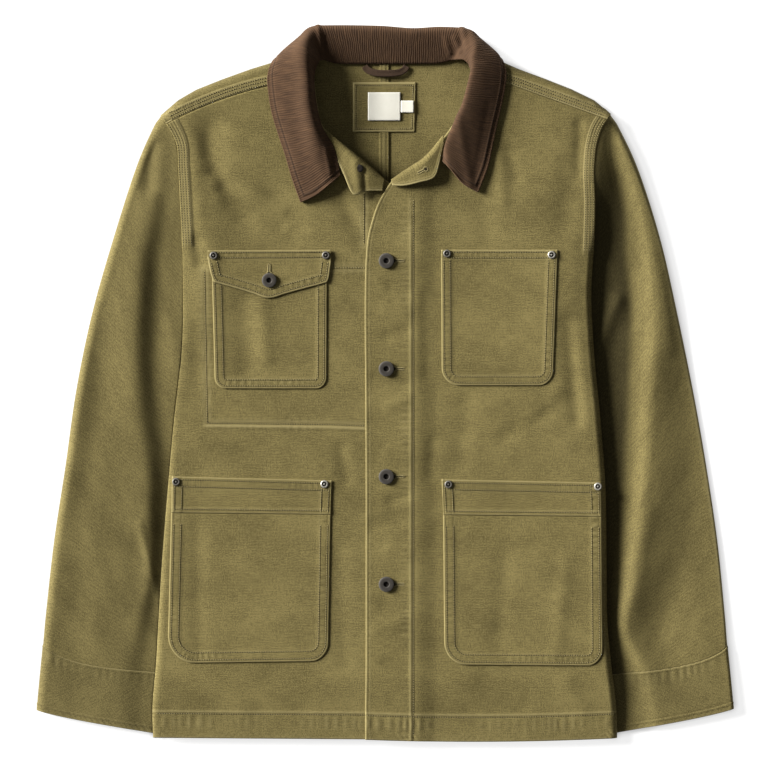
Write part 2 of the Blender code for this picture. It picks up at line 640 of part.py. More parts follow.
def cloth_piece(name, grid, finish, thickness=CLOTH, ring=False):
    """Turns a grid of points into a mesh whose faces look up, with an even thickness."""
    rows, columns = grid.shape[:2]
    index = np.arange(rows * columns).reshape(rows, columns)
    if ring:
        index = np.concatenate([index, index[:, :1]], axis=1)
    faces = np.stack([index[:-1, :-1], index[:-1, 1:], index[1:, 1:], index[1:, :-1]], axis=-1)
    mesh = bpy.data.meshes.new(name)
    mesh.from_pydata((grid.reshape(-1, 3) * MM).tolist(), [], faces.reshape(-1, 4).tolist())
    mesh.validate()
    made = add_object(name, mesh, finish)
    solid = made.modifiers.new("thickness", "SOLIDIFY")
    solid.thickness = thickness * MM
    solid.offset = 0
    solid.use_even_offset = True
    solid.use_quality_normals = True
    mesh.set_sharp_from_angle(angle=math.radians(50))
    return made


def moved_in(grid, distance):
    """The same strip, moved along its normals; at a bend it moves by the mitre's length."""
    run = np.gradient(grid, axis=0)
    facets = np.cross((run[:, :-1] + run[:, 1:]) / 2, np.diff(grid, axis=1))
    facets /= np.linalg.norm(facets, axis=2)[..., None]
    before = np.concatenate([facets[:, :1], facets], axis=1)
    after = np.concatenate([facets, facets[:, -1:]], axis=1)
    normal = before + after
    normal /= np.linalg.norm(normal, axis=2)[..., None]
    mitre = np.clip((normal * before).sum(axis=2), 0.6, 1)[..., None]
    return grid + normal * distance / mitre


def turned_piece(name, profile, segments, place, finish):
    """Spins a closed half profile of (radius, height) pairs about a vertical axis."""
    shape = bmesh.new()
    ring = [shape.verts.new((radius * MM, 0, height * MM)) for radius, height in profile]
    edges = [shape.edges.new(pair) for pair in zip(ring[:-1], ring[1:])]
    bmesh.ops.spin(
        shape,
        geom=ring + edges,
        cent=(0, 0, 0),
        axis=(0, 0, 1),
        angle=2 * math.pi,
        steps=segments,
        use_merge=True,
    )
    bmesh.ops.remove_doubles(shape, verts=shape.verts, dist=0.00001)
    bmesh.ops.recalc_face_normals(shape, faces=shape.faces)
    mesh = bpy.data.meshes.new(name)
    shape.to_mesh(mesh)
    shape.free()
    mesh.shade_smooth()
    mesh.set_sharp_from_angle(angle=math.radians(40))
    made = add_object(name, mesh, finish)
    made.location = [value * MM for value in place]
    return made


# ---- the jacket ----------------------------------------------------------------------


def make_fronts(canvas):
    fold = np.array([0, 0.6, 2.6, FOLD_TOP])
    for side in SIDES:
        outer_x = abs(body_edge(side, 0.0))
        inner_x = FRONT[side][5].inner_x * SIDES[side]
        columns = np.concatenate([outer_x - fold, FRONT_COLUMNS, [inner_x]])
        u = (outer_x - columns) / (outer_x - inner_x)
        last = len(FRONT[side]) - 1
        v = np.array([0, 1, 2, 2.5, 3, 4, 5, 6, 6.6, *range(7, last), last - 0.5, last])
        cloth_piece(f"front_{side}", front_panel(side, v, u)[:, ::-SIDES[side]], canvas)


def make_backs(canvas):
    shoulder = np.array([0, 0.16, 0.34, 0.54, 0.73, 0.87, 0.95, 0.985, 1])
    p = np.concatenate([[0, 0.5, 1, 1.25, 1.5, 1.75], 2 + shoulder])
    v = np.concatenate([np.linspace(0, 0.72, 7), [0.79, 0.85, 0.9, 0.95, 0.975, 1]])
    q = np.array([0.14, 0.28, 0.4, 0.48, 0.56, 0.65, 1])
    for side in SIDES:
        grid = back_panel(side, v, p, q)
        cloth_piece(f"back_{side}", grid[:, :: SIDES[side]], canvas)


def make_sleeves(canvas):
    v = np.array([0, 0.4, 1, 1.6, 2.2, 3, 4, 5, 6, 7, CUFF_SEAM])
    cuff_v = CUFF_SEAM + np.array([0.02, 1])
    for side in SIDES:
        tube = sleeve_tube(side, v)
        cuff = sleeve_tube(side, cuff_v, DOUBLE_CLOTH / 2)
        turn = -SIDES[side]
        cloth_piece(f"sleeve_{side}", tube[:, ::turn], canvas, ring=True)
        cloth_piece(f"cuff_{side}", cuff[:, ::turn], canvas, DOUBLE_CLOTH, ring=True)


def make_collar(corduroy, canvas):
    s = np.arange(len(COLLAR))
    t = np.array([0, 0.16, 0.3, 0.4, 0.48, 0.56, 0.64, 0.74, 1])
    top = collar_surface(s, t)
    cloth_piece("collar_top", top, corduroy)
    cloth_piece("collar_under", moved_in(top, -STACK - COLLAR_EASE), canvas)


def make_front_corners(canvas):
    v = np.linspace(0, 6, 7)
    u = np.array([0, 0.06, 0.2, 0.5, 1])
    for side in SIDES:
        grid = turned_corner(side, v, u)
        cloth_piece(f"facing_{side}", grid, canvas, DOUBLE_CLOTH)


def make_pockets(canvas):
    corner = np.array([0, 0.012, 0.045, 0.12])
    v = np.concatenate([corner, np.linspace(0.34, 1, 4)])
    u = np.array([0, 0.02, 0.25, 0.5, 0.75, 0.98, 1])
    for name, patch in PATCHES.items():
        cloth_piece(name, patch_surface(patch, u, v, 1), canvas)
    for name, patch in BANDS.items():
        cloth_piece(name, patch_surface(patch, u, np.array([0, 1]), 1), canvas)
    cloth_piece("chest_pocket_flap", flap_surface(np.linspace(0, 1, 3)), canvas)
    inside = patch_surface(INSIDE_POCKET, u, np.linspace(0, 1, 5), -1)
    cloth_piece("inside_pocket", inside, canvas, TAPE)


def make_neck_trims(canvas, twill, woven):
    patch_z = CLOTH + GAP + TAPE / 2
    cloth_piece("label_patch", flat_patch(LABEL_PATCH, patch_z), canvas, TAPE)
    label_z = patch_z + TAPE + GAP
    cloth_piece("label", flat_patch(LABEL, label_z), woven, TAPE)
    cloth_piece("size_tab", flat_patch(SIZE_TAB, label_z), woven, TAPE)
    cloth_piece("hanger_loop", loop_surface(), twill, LOOP_THICK)


def top_of(trim):
    """Height of the cloth that a trim sits on."""
    height, half = front_height, CLOTH / 2 + GAP
    if trim.carrier == "front_left":
        return float(height("left", trim.x, trim.y)) + half
    if trim.carrier == "front_right":
        return float(height("right", trim.x, trim.y)) + half
    if trim.carrier == "flap":
        return float(height("right", trim.x, trim.y)) + 2 * STACK + half
    if trim.carrier == "patch_left":
        return float(height("left", trim.x, trim.y)) + STACK + half
    return float(height("right", trim.x, trim.y)) + STACK + half


def make_trims(gunmetal, steel):
    for trim in BUTTONS:
        radius = trim.diameter / 2
        tall = TOP_BUTTON_HEIGHT if trim.name == "button_1" else BUTTON_HEIGHT
        profile = [
            (0, 0),
            (radius * 0.86, 0),
            (radius, tall * 0.3),
            (radius, tall * 0.62),
            (radius * 0.86, tall),
            (radius * 0.62, tall),
            (radius * 0.44, tall * 0.45),
            (0, tall * 0.45),
        ]
        place = (trim.x, trim.y, top_of(trim))
        turned_piece(trim.name, profile, 20, place, gunmetal)
    for trim in RIVETS:
        radius = trim.diameter / 2
        profile = [
            (0, 0),
            (radius, 0),
            (radius, RIVET_HEIGHT * 0.45),
            (radius * 0.7, RIVET_HEIGHT),
            (radius * 0.3, RIVET_HEIGHT),
            (0, RIVET_HEIGHT * 0.6),
        ]
        turned_piece(trim.name, profile, 12, (trim.x, trim.y, top_of(trim)), steel)
    rise = turned_corner("right", np.array([3.85]), np.array([0.28]))[0, 0]
    radius = TACK_BACK.diameter / 2
    profile = [(0, 0), (radius, 0), (radius, 0.5), (radius * 0.6, 1.1), (0, 1.2)]
    place = (rise[0], rise[1], rise[2] + DOUBLE_CLOTH / 2 + GAP * 2)
    turned_piece(TACK_BACK.name, profile, 12, place, steel)


def main():
    for old in list(bpy.data.objects):
        bpy.data.objects.remove(old, do_unlink=True)
    canvas = material("olive_canvas", (0.235, 0.19, 0.078), 0.9)
    corduroy = material("brown_corduroy", (0.07, 0.038, 0.022), 0.95)
    twill = material("brown_tape", (0.075, 0.042, 0.026), 0.9)
    woven = material("white_label", (0.86, 0.84, 0.76), 0.8)
    gunmetal = material("gunmetal", (0.06, 0.055, 0.048), 0.45, 1.0)
    steel = material("aged_steel", (0.2, 0.185, 0.165), 0.4, 1.0)
    make_backs(canvas)
    make_fronts(canvas)
    make_sleeves(canvas)
    make_collar(corduroy, canvas)
    make_front_corners(canvas)
    make_pockets(canvas)
    make_neck_trims(canvas, twill, woven)
    make_trims(gunmetal, steel)


main()
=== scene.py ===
# %% [markdown]
# # Barn jacket of washed canvas
# The jacket lies face up and buttoned on a pale floor.  Its body, sleeves, cuffs and
# patch pockets are cut from an olive canvas, its collar from a fine brown corduroy, and
# its buttons and rivets are dark metal.
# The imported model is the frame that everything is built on: a cell below loads it, and
# every new piece repeats the sizes of the node that it stands for.

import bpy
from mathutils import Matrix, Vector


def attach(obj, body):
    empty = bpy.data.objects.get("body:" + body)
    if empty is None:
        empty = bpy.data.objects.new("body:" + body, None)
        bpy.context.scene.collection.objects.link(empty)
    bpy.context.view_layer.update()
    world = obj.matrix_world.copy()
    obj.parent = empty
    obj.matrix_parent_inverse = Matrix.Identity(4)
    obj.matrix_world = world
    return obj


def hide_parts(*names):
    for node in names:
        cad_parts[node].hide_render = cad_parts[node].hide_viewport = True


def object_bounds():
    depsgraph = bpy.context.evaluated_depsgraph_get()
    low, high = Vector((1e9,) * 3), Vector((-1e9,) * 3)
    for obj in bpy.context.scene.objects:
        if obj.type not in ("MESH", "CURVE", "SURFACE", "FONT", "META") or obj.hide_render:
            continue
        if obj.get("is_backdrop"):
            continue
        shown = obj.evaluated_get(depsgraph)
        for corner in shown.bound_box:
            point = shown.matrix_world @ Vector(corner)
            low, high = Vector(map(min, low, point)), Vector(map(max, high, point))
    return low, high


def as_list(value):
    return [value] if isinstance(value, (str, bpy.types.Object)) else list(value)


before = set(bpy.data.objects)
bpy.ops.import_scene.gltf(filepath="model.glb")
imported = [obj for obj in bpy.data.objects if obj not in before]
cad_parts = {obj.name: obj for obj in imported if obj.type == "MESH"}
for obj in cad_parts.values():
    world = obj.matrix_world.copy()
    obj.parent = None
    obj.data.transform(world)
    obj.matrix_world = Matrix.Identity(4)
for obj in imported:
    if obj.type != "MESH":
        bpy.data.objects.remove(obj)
cad_low, cad_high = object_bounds()
print("frame:", len(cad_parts), "nodes,", [round(v, 4) for v in cad_high - cad_low], "m")

# %% [markdown]
# The numpy library works on whole arrays of points at once, so a cloth surface is a
# formula and not a loop.  Sizes are in millimetres, as on a cutting table, and are
# turned into metres when a mesh is made.  +X is the wearer's left, +Y runs from the hem
# to the collar, and +Z is up.

# %% Sizes of the cloth
import math
from collections import namedtuple

import bpy
import numpy as np
from mathutils import Vector

MM = 0.001
CLOTH = 1.2  # canvas, also the collar's corduroy
DOUBLE_CLOTH = 2.2  # cuffs and front corners, two layers sewn together
TAPE = 1.0  # label patch, labels and inside pocket
GAP = 0.3
STACK = CLOTH + GAP  # from one mid surface to the next one lying on it
POCKET_CLOTH = 0.8  # washed thin where it is sewn flat to the front
POCKET_LIFT = 1.1  # of a pocket's mid surface above the front's
BAND_LIFT = 1.3
FLAP_LIFT = 2.0
COLLAR_EASE = 0.3

FLOOR = CLOTH / 2
LOFT = 16.0  # front panels above the floor
HEM_LOFT = 12.0
HEM_REACH = 70.0
LAP_RAISE = 1.9  # left front where it laps over the right front
LAP_FLAT = 35.0
LAP_END = 58.0

FOLD_TOP = 7.0
SIDE_UNDER = 18.0
RIDGE_UNDER = 14.0
ARMHOLE_RISE = 43.0
SHOULDER_GAP = 0.5
ROLL = 6.0

CENTRE_BACK = 5.2
HEM_Y = -382.0
SIDES = {"right": -1, "left": 1}  # the wearer's sides and the sign of their x
UNDERARM = {"right": 147.3, "left": 140.8}
print("canvas", CLOTH, "mm thick, fronts", LOFT, "mm above the floor")

# %% [markdown]
# A finish is a tree of shader nodes.  These helpers add a node and link or set its
# inputs, do sums on sockets, and make noise and waves from a place on the cloth.

# %% Node helpers
def feed(tree, node, inputs):
    """Links sockets to a node's inputs, and sets its other inputs to plain values."""
    for place, value in dict(inputs).items():
        if isinstance(value, bpy.types.NodeSocket):
            tree.links.new(value, node.inputs[place])
        else:
            node.inputs[place].default_value = value


def put(tree, kind, inputs=(), **settings):
    """Adds a node, sets its fields and feeds its inputs."""
    made = tree.nodes.new(kind)
    for field, value in settings.items():
        setattr(made, field, value)
    feed(tree, made, inputs)
    return made


def calc(tree, operation, *terms, clamp=False):
    """Result of a math node on sockets or numbers."""
    inputs = dict(enumerate(terms))
    return put(tree, "ShaderNodeMath", inputs, operation=operation, use_clamp=clamp).outputs[0]


def sum_up(tree, *terms, start=None):
    """Sum of terms of (socket, factor), and of a number to start from."""
    total = None
    for socket, factor in terms:
        scaled = calc(tree, "MULTIPLY", socket, factor)
        total = scaled if total is None else calc(tree, "ADD", total, scaled)
    return total if start is None else calc(tree, "ADD", total, start)


def new_group(name, inputs, outputs, numbers=()):
    """An empty node group of vector inputs, number inputs with their values, and number
    outputs.  Returns it with the sockets that its inputs give and its output node."""
    group = bpy.data.node_groups.new(name, "ShaderNodeTree")
    for label in inputs:
        group.interface.new_socket(label, in_out="INPUT", socket_type="NodeSocketVector")
    for label, value in dict(numbers).items():
        socket = group.interface.new_socket(label, in_out="INPUT", socket_type="NodeSocketFloat")
        socket.default_value = value
    for label in outputs:
        group.interface.new_socket(label, in_out="OUTPUT", socket_type="NodeSocketFloat")
    return group, group.nodes.new("NodeGroupInput").outputs, group.nodes.new("NodeGroupOutput")


def scaled_place(tree, place, scale):
    return put(tree, "ShaderNodeVectorMath", {0: place, 1: scale}, operation="MULTIPLY").outputs[0]


def in_mm(tree, place):
    """A place on the UV map, which is in metres, in millimetres."""
    return scaled_place(tree, place, (1000,) * 3)


def axes(tree, place):
    return put(tree, "ShaderNodeSeparateXYZ", {0: place}).outputs


def stretched_noise(tree, place, stretch, detail=2.0, rough=0.55):
    """Noise of one grain per unit after the place is scaled by stretch."""
    inputs = {"Vector": scaled_place(tree, place, stretch), "Scale": 1.0}
    inputs.update({"Detail": detail, "Roughness": rough})
    return put(tree, "ShaderNodeTexNoise", inputs).outputs["Fac"]


def wave(tree, length, pitch):
    """Sine of a length with the given pitch."""
    return calc(tree, "SINE", calc(tree, "MULTIPLY", length, 2 * math.pi / pitch))


print("node helpers ready")

# %% [markdown]
# ## The camera, the floor and the light
# The jacket is seen from straight above through a long lens, so hardly any perspective
# shows.  A broad, low lamp at the upper left makes the folds read, and the bright sky
# all round stands for the white walls of a studio and keeps the shadows open.

# %% Camera
VIEW_WIDTH = 0.8256  # metres of floor across the picture
CAMERA_HEIGHT = 4.0
VIEW_PLANE = 0.012
SENSOR = 36.0

camera_data = bpy.data.cameras.new("camera")
camera_data.type = "PERSP"
camera_data.sensor_width = SENSOR
camera_data.lens = SENSOR * (CAMERA_HEIGHT - VIEW_PLANE) / VIEW_WIDTH
camera = bpy.data.objects.new("camera", camera_data)
camera.location = (0, 0, CAMERA_HEIGHT)
bpy.context.collection.objects.link(camera)
bpy.context.scene.camera = camera
print("lens", round(camera_data.lens, 1), "mm")

# %% Floor and light
KEY_STRENGTH = 12.2
KEY_SOFTNESS = math.radians(27)
KEY_FROM = (-1.0, 0.42, 0.385)  # towards the lamp
SKY_STRENGTH = 0.15
FLOOR_HALF = 6  # metres
FLOOR_GREY = (0.4, 0.4, 0.4)
FLOOR_GLOW = 0.8  # the floor glows: painted light that keeps the cast shadows on it pale
CONTACT_SHADE_REACH = 0.008  # metres; within this of a cloth, ambient occlusion dims the floor's glow: a painted contact shadow

pale_floor = bpy.data.materials.new("pale_floor")
pale_floor.use_nodes = True
floor_tree = pale_floor.node_tree
# painted contact shadow: ambient occlusion dims the floor's glow under and beside the cloth
contact_shade_ao = put(floor_tree, "ShaderNodeAmbientOcclusion", {"Distance": CONTACT_SHADE_REACH}).outputs["AO"]
glow_with_contact_shade = calc(floor_tree, "MULTIPLY", contact_shade_ao, FLOOR_GLOW)
floor_look = {"Base Color": (*FLOOR_GREY, 1), "Roughness": 0.9}
floor_look.update({"Emission Color": (1, 1, 1, 1), "Emission Strength": glow_with_contact_shade})
feed(floor_tree, floor_tree.nodes["Principled BSDF"], floor_look)

floor_mesh = bpy.data.meshes.new("floor")
corners = [(x * FLOOR_HALF, y * FLOOR_HALF, 0) for x, y in ((-1, -1), (1, -1), (1, 1), (-1, 1))]
floor_mesh.from_pydata(corners, [], [(0, 1, 2, 3)])
floor_mesh.materials.append(pale_floor)
floor = bpy.data.objects.new("floor", floor_mesh)
bpy.context.collection.objects.link(floor)
floor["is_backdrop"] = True

key_data = bpy.data.lights.new("key", "SUN")
key_data.energy = KEY_STRENGTH
key_data.angle = KEY_SOFTNESS
key_data.color = (1.0, 0.985, 0.96)
key = bpy.data.objects.new("key", key_data)
key.rotation_mode = "QUATERNION"
key.rotation_quaternion = Vector(KEY_FROM).to_track_quat("Z", "Y")
bpy.context.collection.objects.link(key)

world = bpy.data.worlds.new("studio")
world.use_nodes = True
background = world.node_tree.nodes["Background"]
feed(world.node_tree, background, {"Color": (1, 1, 1, 1), "Strength": SKY_STRENGTH})
bpy.context.scene.world = world
bpy.context.scene.view_settings.view_transform = "Standard"
print("lamp at", round(math.degrees(math.asin(Vector(KEY_FROM).normalized().z))), "degrees")

# %% [markdown]
# ## Curves and profiles
# A tailor's line is a few measured points joined by a fair curve.  A cubic curve through
# the points does the same, and is worked out for a whole array of places at once.  A
# quarter circle rounds an edge over, and an ease joins two levels without a corner.
# The measures stand in tables whose columns are named.

# %% Curves
def table(names, rows):
    """Rows of numbers with named columns; a dictionary holds one table for each key."""
    if isinstance(rows, dict):
        return {key: table(names, part) for key, part in rows.items()}
    row_of = namedtuple("Row", names)
    return [row_of(*row) for row in rows]


def smooth_curve(knots, values, at):
    """Cubic curve through the rows, its slope at a row taken from the rows beside it."""
    knots = np.asarray(knots, float)
    values = np.asarray(values, float)
    slopes = np.gradient(values, knots)
    at = np.clip(at, knots[0], knots[-1])
    left = np.clip(np.searchsorted(knots, at, side="right") - 1, 0, len(knots) - 2)
    width = knots[left + 1] - knots[left]
    t = (at - knots[left]) / width
    start = (1 + 2 * t) * (1 - t) ** 2 * values[left]
    finish = t**2 * (3 - 2 * t) * values[left + 1]
    leaning = t * (1 - t) * ((1 - t) * slopes[left] - t * slopes[left + 1]) * width
    return start + finish + leaning


def column(rows, name):
    return np.array([getattr(row, name) for row in rows], float)


def along(rows, names, at, knots=None):
    """Columns of a table as smooth curves over the row number, or over the column knots."""
    places = column(rows, knots) if knots else np.arange(len(rows))
    curves = [smooth_curve(places, column(rows, name), at) for name in names.split()]
    return curves if len(curves) > 1 else curves[0]


def round_off(distance, radius):
    """0 at an edge, rising like a quarter circle to 1 at one radius in."""
    q = np.clip(distance / radius, 0, 1)
    return np.sqrt(np.clip(1 - (1 - q) ** 2, 0, 1))


def ease(q):
    q = np.clip(q, 0, 1)
    return q * q * (3 - 2 * q)


def mix(a, b, t):
    return a + (b - a) * t


def bell(distance, centre, width):
    """1 at the centre, falling like a bell curve to about a third at one width away."""
    return np.exp(-(((distance - centre) / width) ** 2))


def graded(*runs):
    """Places along a line, in runs of (start, end, step), each step as near as it fits."""
    parts = []
    for start, end, step in runs:
        count = max(1, round(abs(end - start) / step))
        parts.append(np.linspace(start, end, count, endpoint=False))
    return np.append(np.concatenate(parts), runs[-1][1])


def stack(*parts):
    """Arrays as the last axis of one array: points, or lift, rub and painted shade."""
    return np.stack(np.broadcast_arrays(*parts), axis=-1)


def unit(vectors):
    return vectors / np.maximum(np.linalg.norm(vectors, axis=-1), 1e-9)[..., None]


def walk(line):
    """Length walked from a line's start to each of its points."""
    return np.append(0, np.cumsum(np.linalg.norm(np.diff(line, axis=0), axis=1)))


def points_at(at, walked, line):
    """Points at given lengths along a line whose own points lie at the lengths walked."""
    return stack(*(np.interp(at, walked, values) for values in np.transpose(line)))


def distance_along(x, y, line):
    """Distance from points to a line of straight pieces, and how far along it they are."""
    best = np.full(np.broadcast(x, y).shape, 1e9)
    place = np.zeros_like(best)
    walked = 0.0
    for (start_x, start_y), (end_x, end_y) in zip(line[:-1], line[1:]):
        run_x, run_y = end_x - start_x, end_y - start_y
        length = math.hypot(run_x, run_y)
        share = np.clip(((x - start_x) * run_x + (y - start_y) * run_y) / length**2, 0, 1)
        away = np.hypot(x - start_x - share * run_x, y - start_y - share * run_y)
        nearer = away < best
        best = np.where(nearer, away, best)
        place = np.where(nearer, walked + share * length, place)
        walked += length
    return best, place


print("curve check:", float(smooth_curve([0, 1, 2], [0, 1, 0], np.array([1.0]))[0]))

# %% [markdown]
# ## Folds
# Cloth that lies flat still keeps soft troughs and ridges from wear.  Each one is a line
# with a half width and a height, and the cloth is raised by a bell curve of the distance
# to that line, so it fades out at the sides and at both ends.  The table lists the
# largest folds first, then the smaller creases, uneven in length, depth and spacing.

# %% The table of folds
FOLDS = table("x1 y1 x2 y2 width height", {
    "front_right": [
        (-184, 276, -182, 226, 17, -3.2), (-168, 206, -150, 180, 16, -1.8),
        (-118, 200, -96, 168, 15, -1.8), (-208, 226, -214, 130, 56, 3.4),
        (-150, 84, -146, 20, 13, -1.5), (-131, 84, -126, 30, 9, 0.9),
        (-203, 152, -199, 130, 9, -3.2),
        # chest dents beside the armhole, then soft hollows round the pockets
        (-190, 264, -186, 230, 8, -1.2), (-190, 232, -178, 200, 8, 1.1),
        (-172, 210, -112, 172, 8, -1.6), (-166, 226, -108, 188, 7, 1.0),
        (-50, 206, -24, 156, 9, -1.3), (-38, 208, -14, 164, 7, 0.7),
        (-46, -70, -40, -104, 8, -1.3), (-152, -72, -128, -90, 10, -0.9),
        (-196, -58, -150, -66, 11, 0.8), (-206, 60, -202, 0, 9, -0.8),
        (-200, -150, -198, -290, 9, -0.8), (-48, -180, -42, -300, 9, -0.7),
        (-120, -316, -84, -340, 12, -0.8), (-180, -320, -150, -346, 11, 0.8),
        (-140, 70, -96, 40, 18, 0.9),
    ],
    "front_left": [
        (200, 214, 190, 80, 52, 1.8), (205, 236, 196, 176, 16, -1.8),
        (210, 278, 212, 226, 7, -1.6), (134, 250, 142, 222, 7, -1.2),
        (124, 244, 128, 196, 7, 0.9), (104, 196, 112, 160, 12, -0.9),
        (198, 66, 208, -36, 9, -1.6), (212, 40, 220, -40, 8, 1.0),
        (186, -8, 150, -44, 9, 1.1), (172, -30, 130, -58, 9, -1.2),
        (90, -20, 82, -82, 11, -0.8), (52, -64, 50, -96, 7, -0.8),
        (44, 90, 46, 10, 7, -0.7), (130, -180, 124, -280, 10, -0.7),
        (196, -190, 186, -284, 9, 0.8), (110, -318, 150, -342, 12, -0.9),
        (196, -322, 214, -350, 10, 0.8), (2, 186, 22, 166, 8, -0.8),
        # the button stand, gathered unevenly by its row of stitches
        (8, 104, 24, 98, 8, -1.1), (2, 82, 22, 76, 7, 0.8), (4, 52, 24, 56, 7, -0.9),
        (-8, 6, 18, -2, 9, -1.1), (4, -24, 22, -18, 6, 0.8), (-12, -40, 14, -46, 9, -1.0),
        (6, -74, 24, -80, 7, 0.9), (8, -126, 24, -120, 6, -0.9),
        (-10, -152, 12, -146, 9, -1.0), (6, -178, 24, -184, 7, 0.9),
        (2, -236, 22, -242, 8, -1.0), (-8, -262, 16, -258, 7, 0.8),
        (4, -300, 22, -306, 8, -0.9), (-12, 172, 12, 160, 11, -1.2),
    ],
    "sleeve_right": [
        (-300, -40, -318, -160, 24, 0.6), (-250, 256, -252, 214, 9, -2.4),
        (-262, -176, -264, -240, 15, -0.9), (-262, -150, -243, -232, 4, 0.8),
        (-302, -70, -316, -190, 14, 0.4), (-334, -210, -344, -290, 14, -0.4),
        (-304, -220, -310, -292, 14, 0.4), (-228, 66, -222, 20, 9, 0.9),
        (-292, 176, -306, 110, 12, 1.0),
    ],
    "sleeve_left": [
        (232, 44, 251, 90, 9, 3.0), (264, 124, 268, 66, 8, -1.0),
        (284, -140, 268, -236, 9, 1.0), (330, -190, 344, -286, 13, 0.5),
        (300, 120, 306, 40, 8, 0.7),
    ],
    "facing_right": [
        # the turned corner, rolled along its tab
        (-31, 236, -27, 208, 4.5, 1.3), (-21.5, 230, -20.5, 208, 2.4, -1.2),
    ],
    "collar": [
        (-71, 384, -67, 356, 2.2, -1.4), (-64, 374, -60, 352, 2.6, 0.8),
        (66, 372, 71, 356, 1.8, -1.2), (76, 372, 83, 357, 2.0, -1.3),
        (84, 384, 90, 360, 2.2, -1.5), (80, 378, 84, 362, 1.8, 0.8),
        (-63, 252, -58, 226, 2.4, -1.0), (-57, 246, -52, 226, 2.2, 0.8),
        (76, 300, 92, 214, 5.0, -0.8), (112, 300, 98, 224, 4.0, 0.5),
        (-97, 300, -84, 214, 7.0, 0.6),
    ],
})


def folds(piece, x, y):
    """Sum of a piece's folds, each a bell across its line and round at its ends."""
    total = np.zeros(np.broadcast(x, y).shape)
    for fold in FOLDS.get(piece, []):
        away, _ = distance_along(x, y, [(fold.x1, fold.y1), (fold.x2, fold.y2)])
        total = total + fold.height * bell(away, 0, fold.width)
    return total


print(sum(len(rows) for rows in FOLDS.values()), "folds on", len(FOLDS), "pieces")

# %% [markdown]
# ## The body's heights
# The body is a flat tube of two layers.  Its front panels lie level and turn over at the
# side folds, where they meet the back panels, and along the armholes the two layers are
# held apart by the sleeve.  One height function for each layer keeps the panels, the
# pockets on them and the stitches in those all on the same surface.

# %% Outline and heights
BODY_EDGE = table("y right left", [
    (-385, -247.8, 250.6),
    (-350, -248.6, 249.6),
    (-300, -244.6, 243.8),
    (-257, -242.2, 239.9),
    (-200, -238.8, 239.0),
    (-103, -231.2, 237.4),
    (-40, -225.5, 232.5),
    (48, -216.4, 224.6),
    (100, -215.8, 222.6),
    (145, -216.5, 225.2),
    (195, -218.9, 226.6),
    (232, -221.0, 225.8),
    (261, -223.8, 229.4),
    (275, -231.0, 234.2),
    (291, -242.5, 244.8),
])


def body_edge(side, y):
    """x of the body's side fold or armhole seam at the height y."""
    return along(BODY_EDGE, side, y, knots="y")


def loft(y):
    return mix(HEM_LOFT, LOFT, ease((y - HEM_Y) / HEM_REACH))


def side_seam(side, y):
    """Height of the side fold, higher at the wearer's right, where the sleeve lies under it."""
    return mix(FLOOR, loft(y), 0.66 if side == "right" else 0.5)


def parting(side, y):
    """0 where front and back meet at the side, 1 where the armhole holds them apart."""
    return round_off(y - UNDERARM[side], ARMHOLE_RISE)


def propped(side, y):
    """How far the wearer's right sleeve, tucked under the side, props the front up."""
    return mix(0.3, 0.82, ease((y + 130) / 110)) if side == "right" else 0 * y


def front_height(side, x, y):
    """Mid surface of a front panel: level, and rounded down at its outer edge."""
    inside = np.abs(body_edge(side, y)) - np.abs(x)
    top = loft(y) + folds(f"front_{side}", x, y) * ease(inside / 24)
    seam = side_seam(side, y) + GAP
    edge = mix(seam, top, np.maximum(parting(side, y), propped(side, y)))
    height = mix(edge, top, round_off(inside, FOLD_TOP))
    if side == "left":
        height = height + LAP_RAISE * ease((LAP_END - x) / (LAP_END - LAP_FLAT))
    return height


def back_height(side, x, y):
    """Mid surface of a back panel: on the floor, and rounded up at its outer edge."""
    inside = np.abs(body_edge(side, y)) - np.abs(x)
    seam = side_seam(side, y) - GAP
    edge = mix(seam, FLOOR, parting(side, y))
    return mix(edge, FLOOR, round_off(inside, SIDE_UNDER))


height = round(float(front_height("left", 120.0, 0.0)), 2)
print("side seam at", round(float(side_seam("left", 0.0)), 2), "mm, front at", height)

# %% [markdown]
# ## Finishes
# Canvas is a plain weave of thick and thin threads, so its colour runs in short streaks
# along the weft, with fainter ones along the warp and slow clouds from washing.  The
# weave is a node group, built once, that turns a place on the cloth into a tone and a
# height.  The place is the piece's own UV map, in metres, so the grain follows the cut.

# %% The canvas weave
THREAD = 0.9  # mm from one thread to the next
RIB = 3.1  # mm from one thick weft to the next

weave, weave_in, weave_out = new_group("canvas_weave", ["Cloth"], ["Tone", "Height"])
on_cloth = in_mm(weave, weave_in["Cloth"])
weft = stretched_noise(weave, on_cloth, (0.11, 0.72, 1.0), 0.0)
warp = stretched_noise(weave, on_cloth, (0.74, 0.13, 3.0), 0.0)
grain = stretched_noise(weave, on_cloth, (0.86, 0.95, 9.0), 0.0)
cloud = stretched_noise(weave, on_cloth, (0.014, 0.019, 5.0), 1.0, 0.5)
patchy = stretched_noise(weave, on_cloth, (0.045, 0.06, 7.0), 1.0, 0.5)
cloth_axes = axes(weave, on_cloth)
over_under = calc(weave, "MULTIPLY", *(wave(weave, cloth_axes[axis], THREAD) for axis in "XY"))
ribs = wave(weave, sum_up(weave, (cloth_axes["Y"], 1.0), (patchy, 5.0), (weft, 1.0)), RIB)
tone = [(ribs, 0.06), (weft, 0.5), (warp, 0.42), (grain, 1.5), (cloud, 0.8), (patchy, 0.42)]
tone += [(over_under, 0.06)]
threads = [(over_under, 0.2), (weft, 0.5), (warp, 0.4), (grain, 0.5)]
feed(weave, weave_out, {"Tone": sum_up(weave, *tone, start=-1.32), "Height": sum_up(weave, *threads)})
print("canvas_weave:", len(weave.nodes), "nodes")
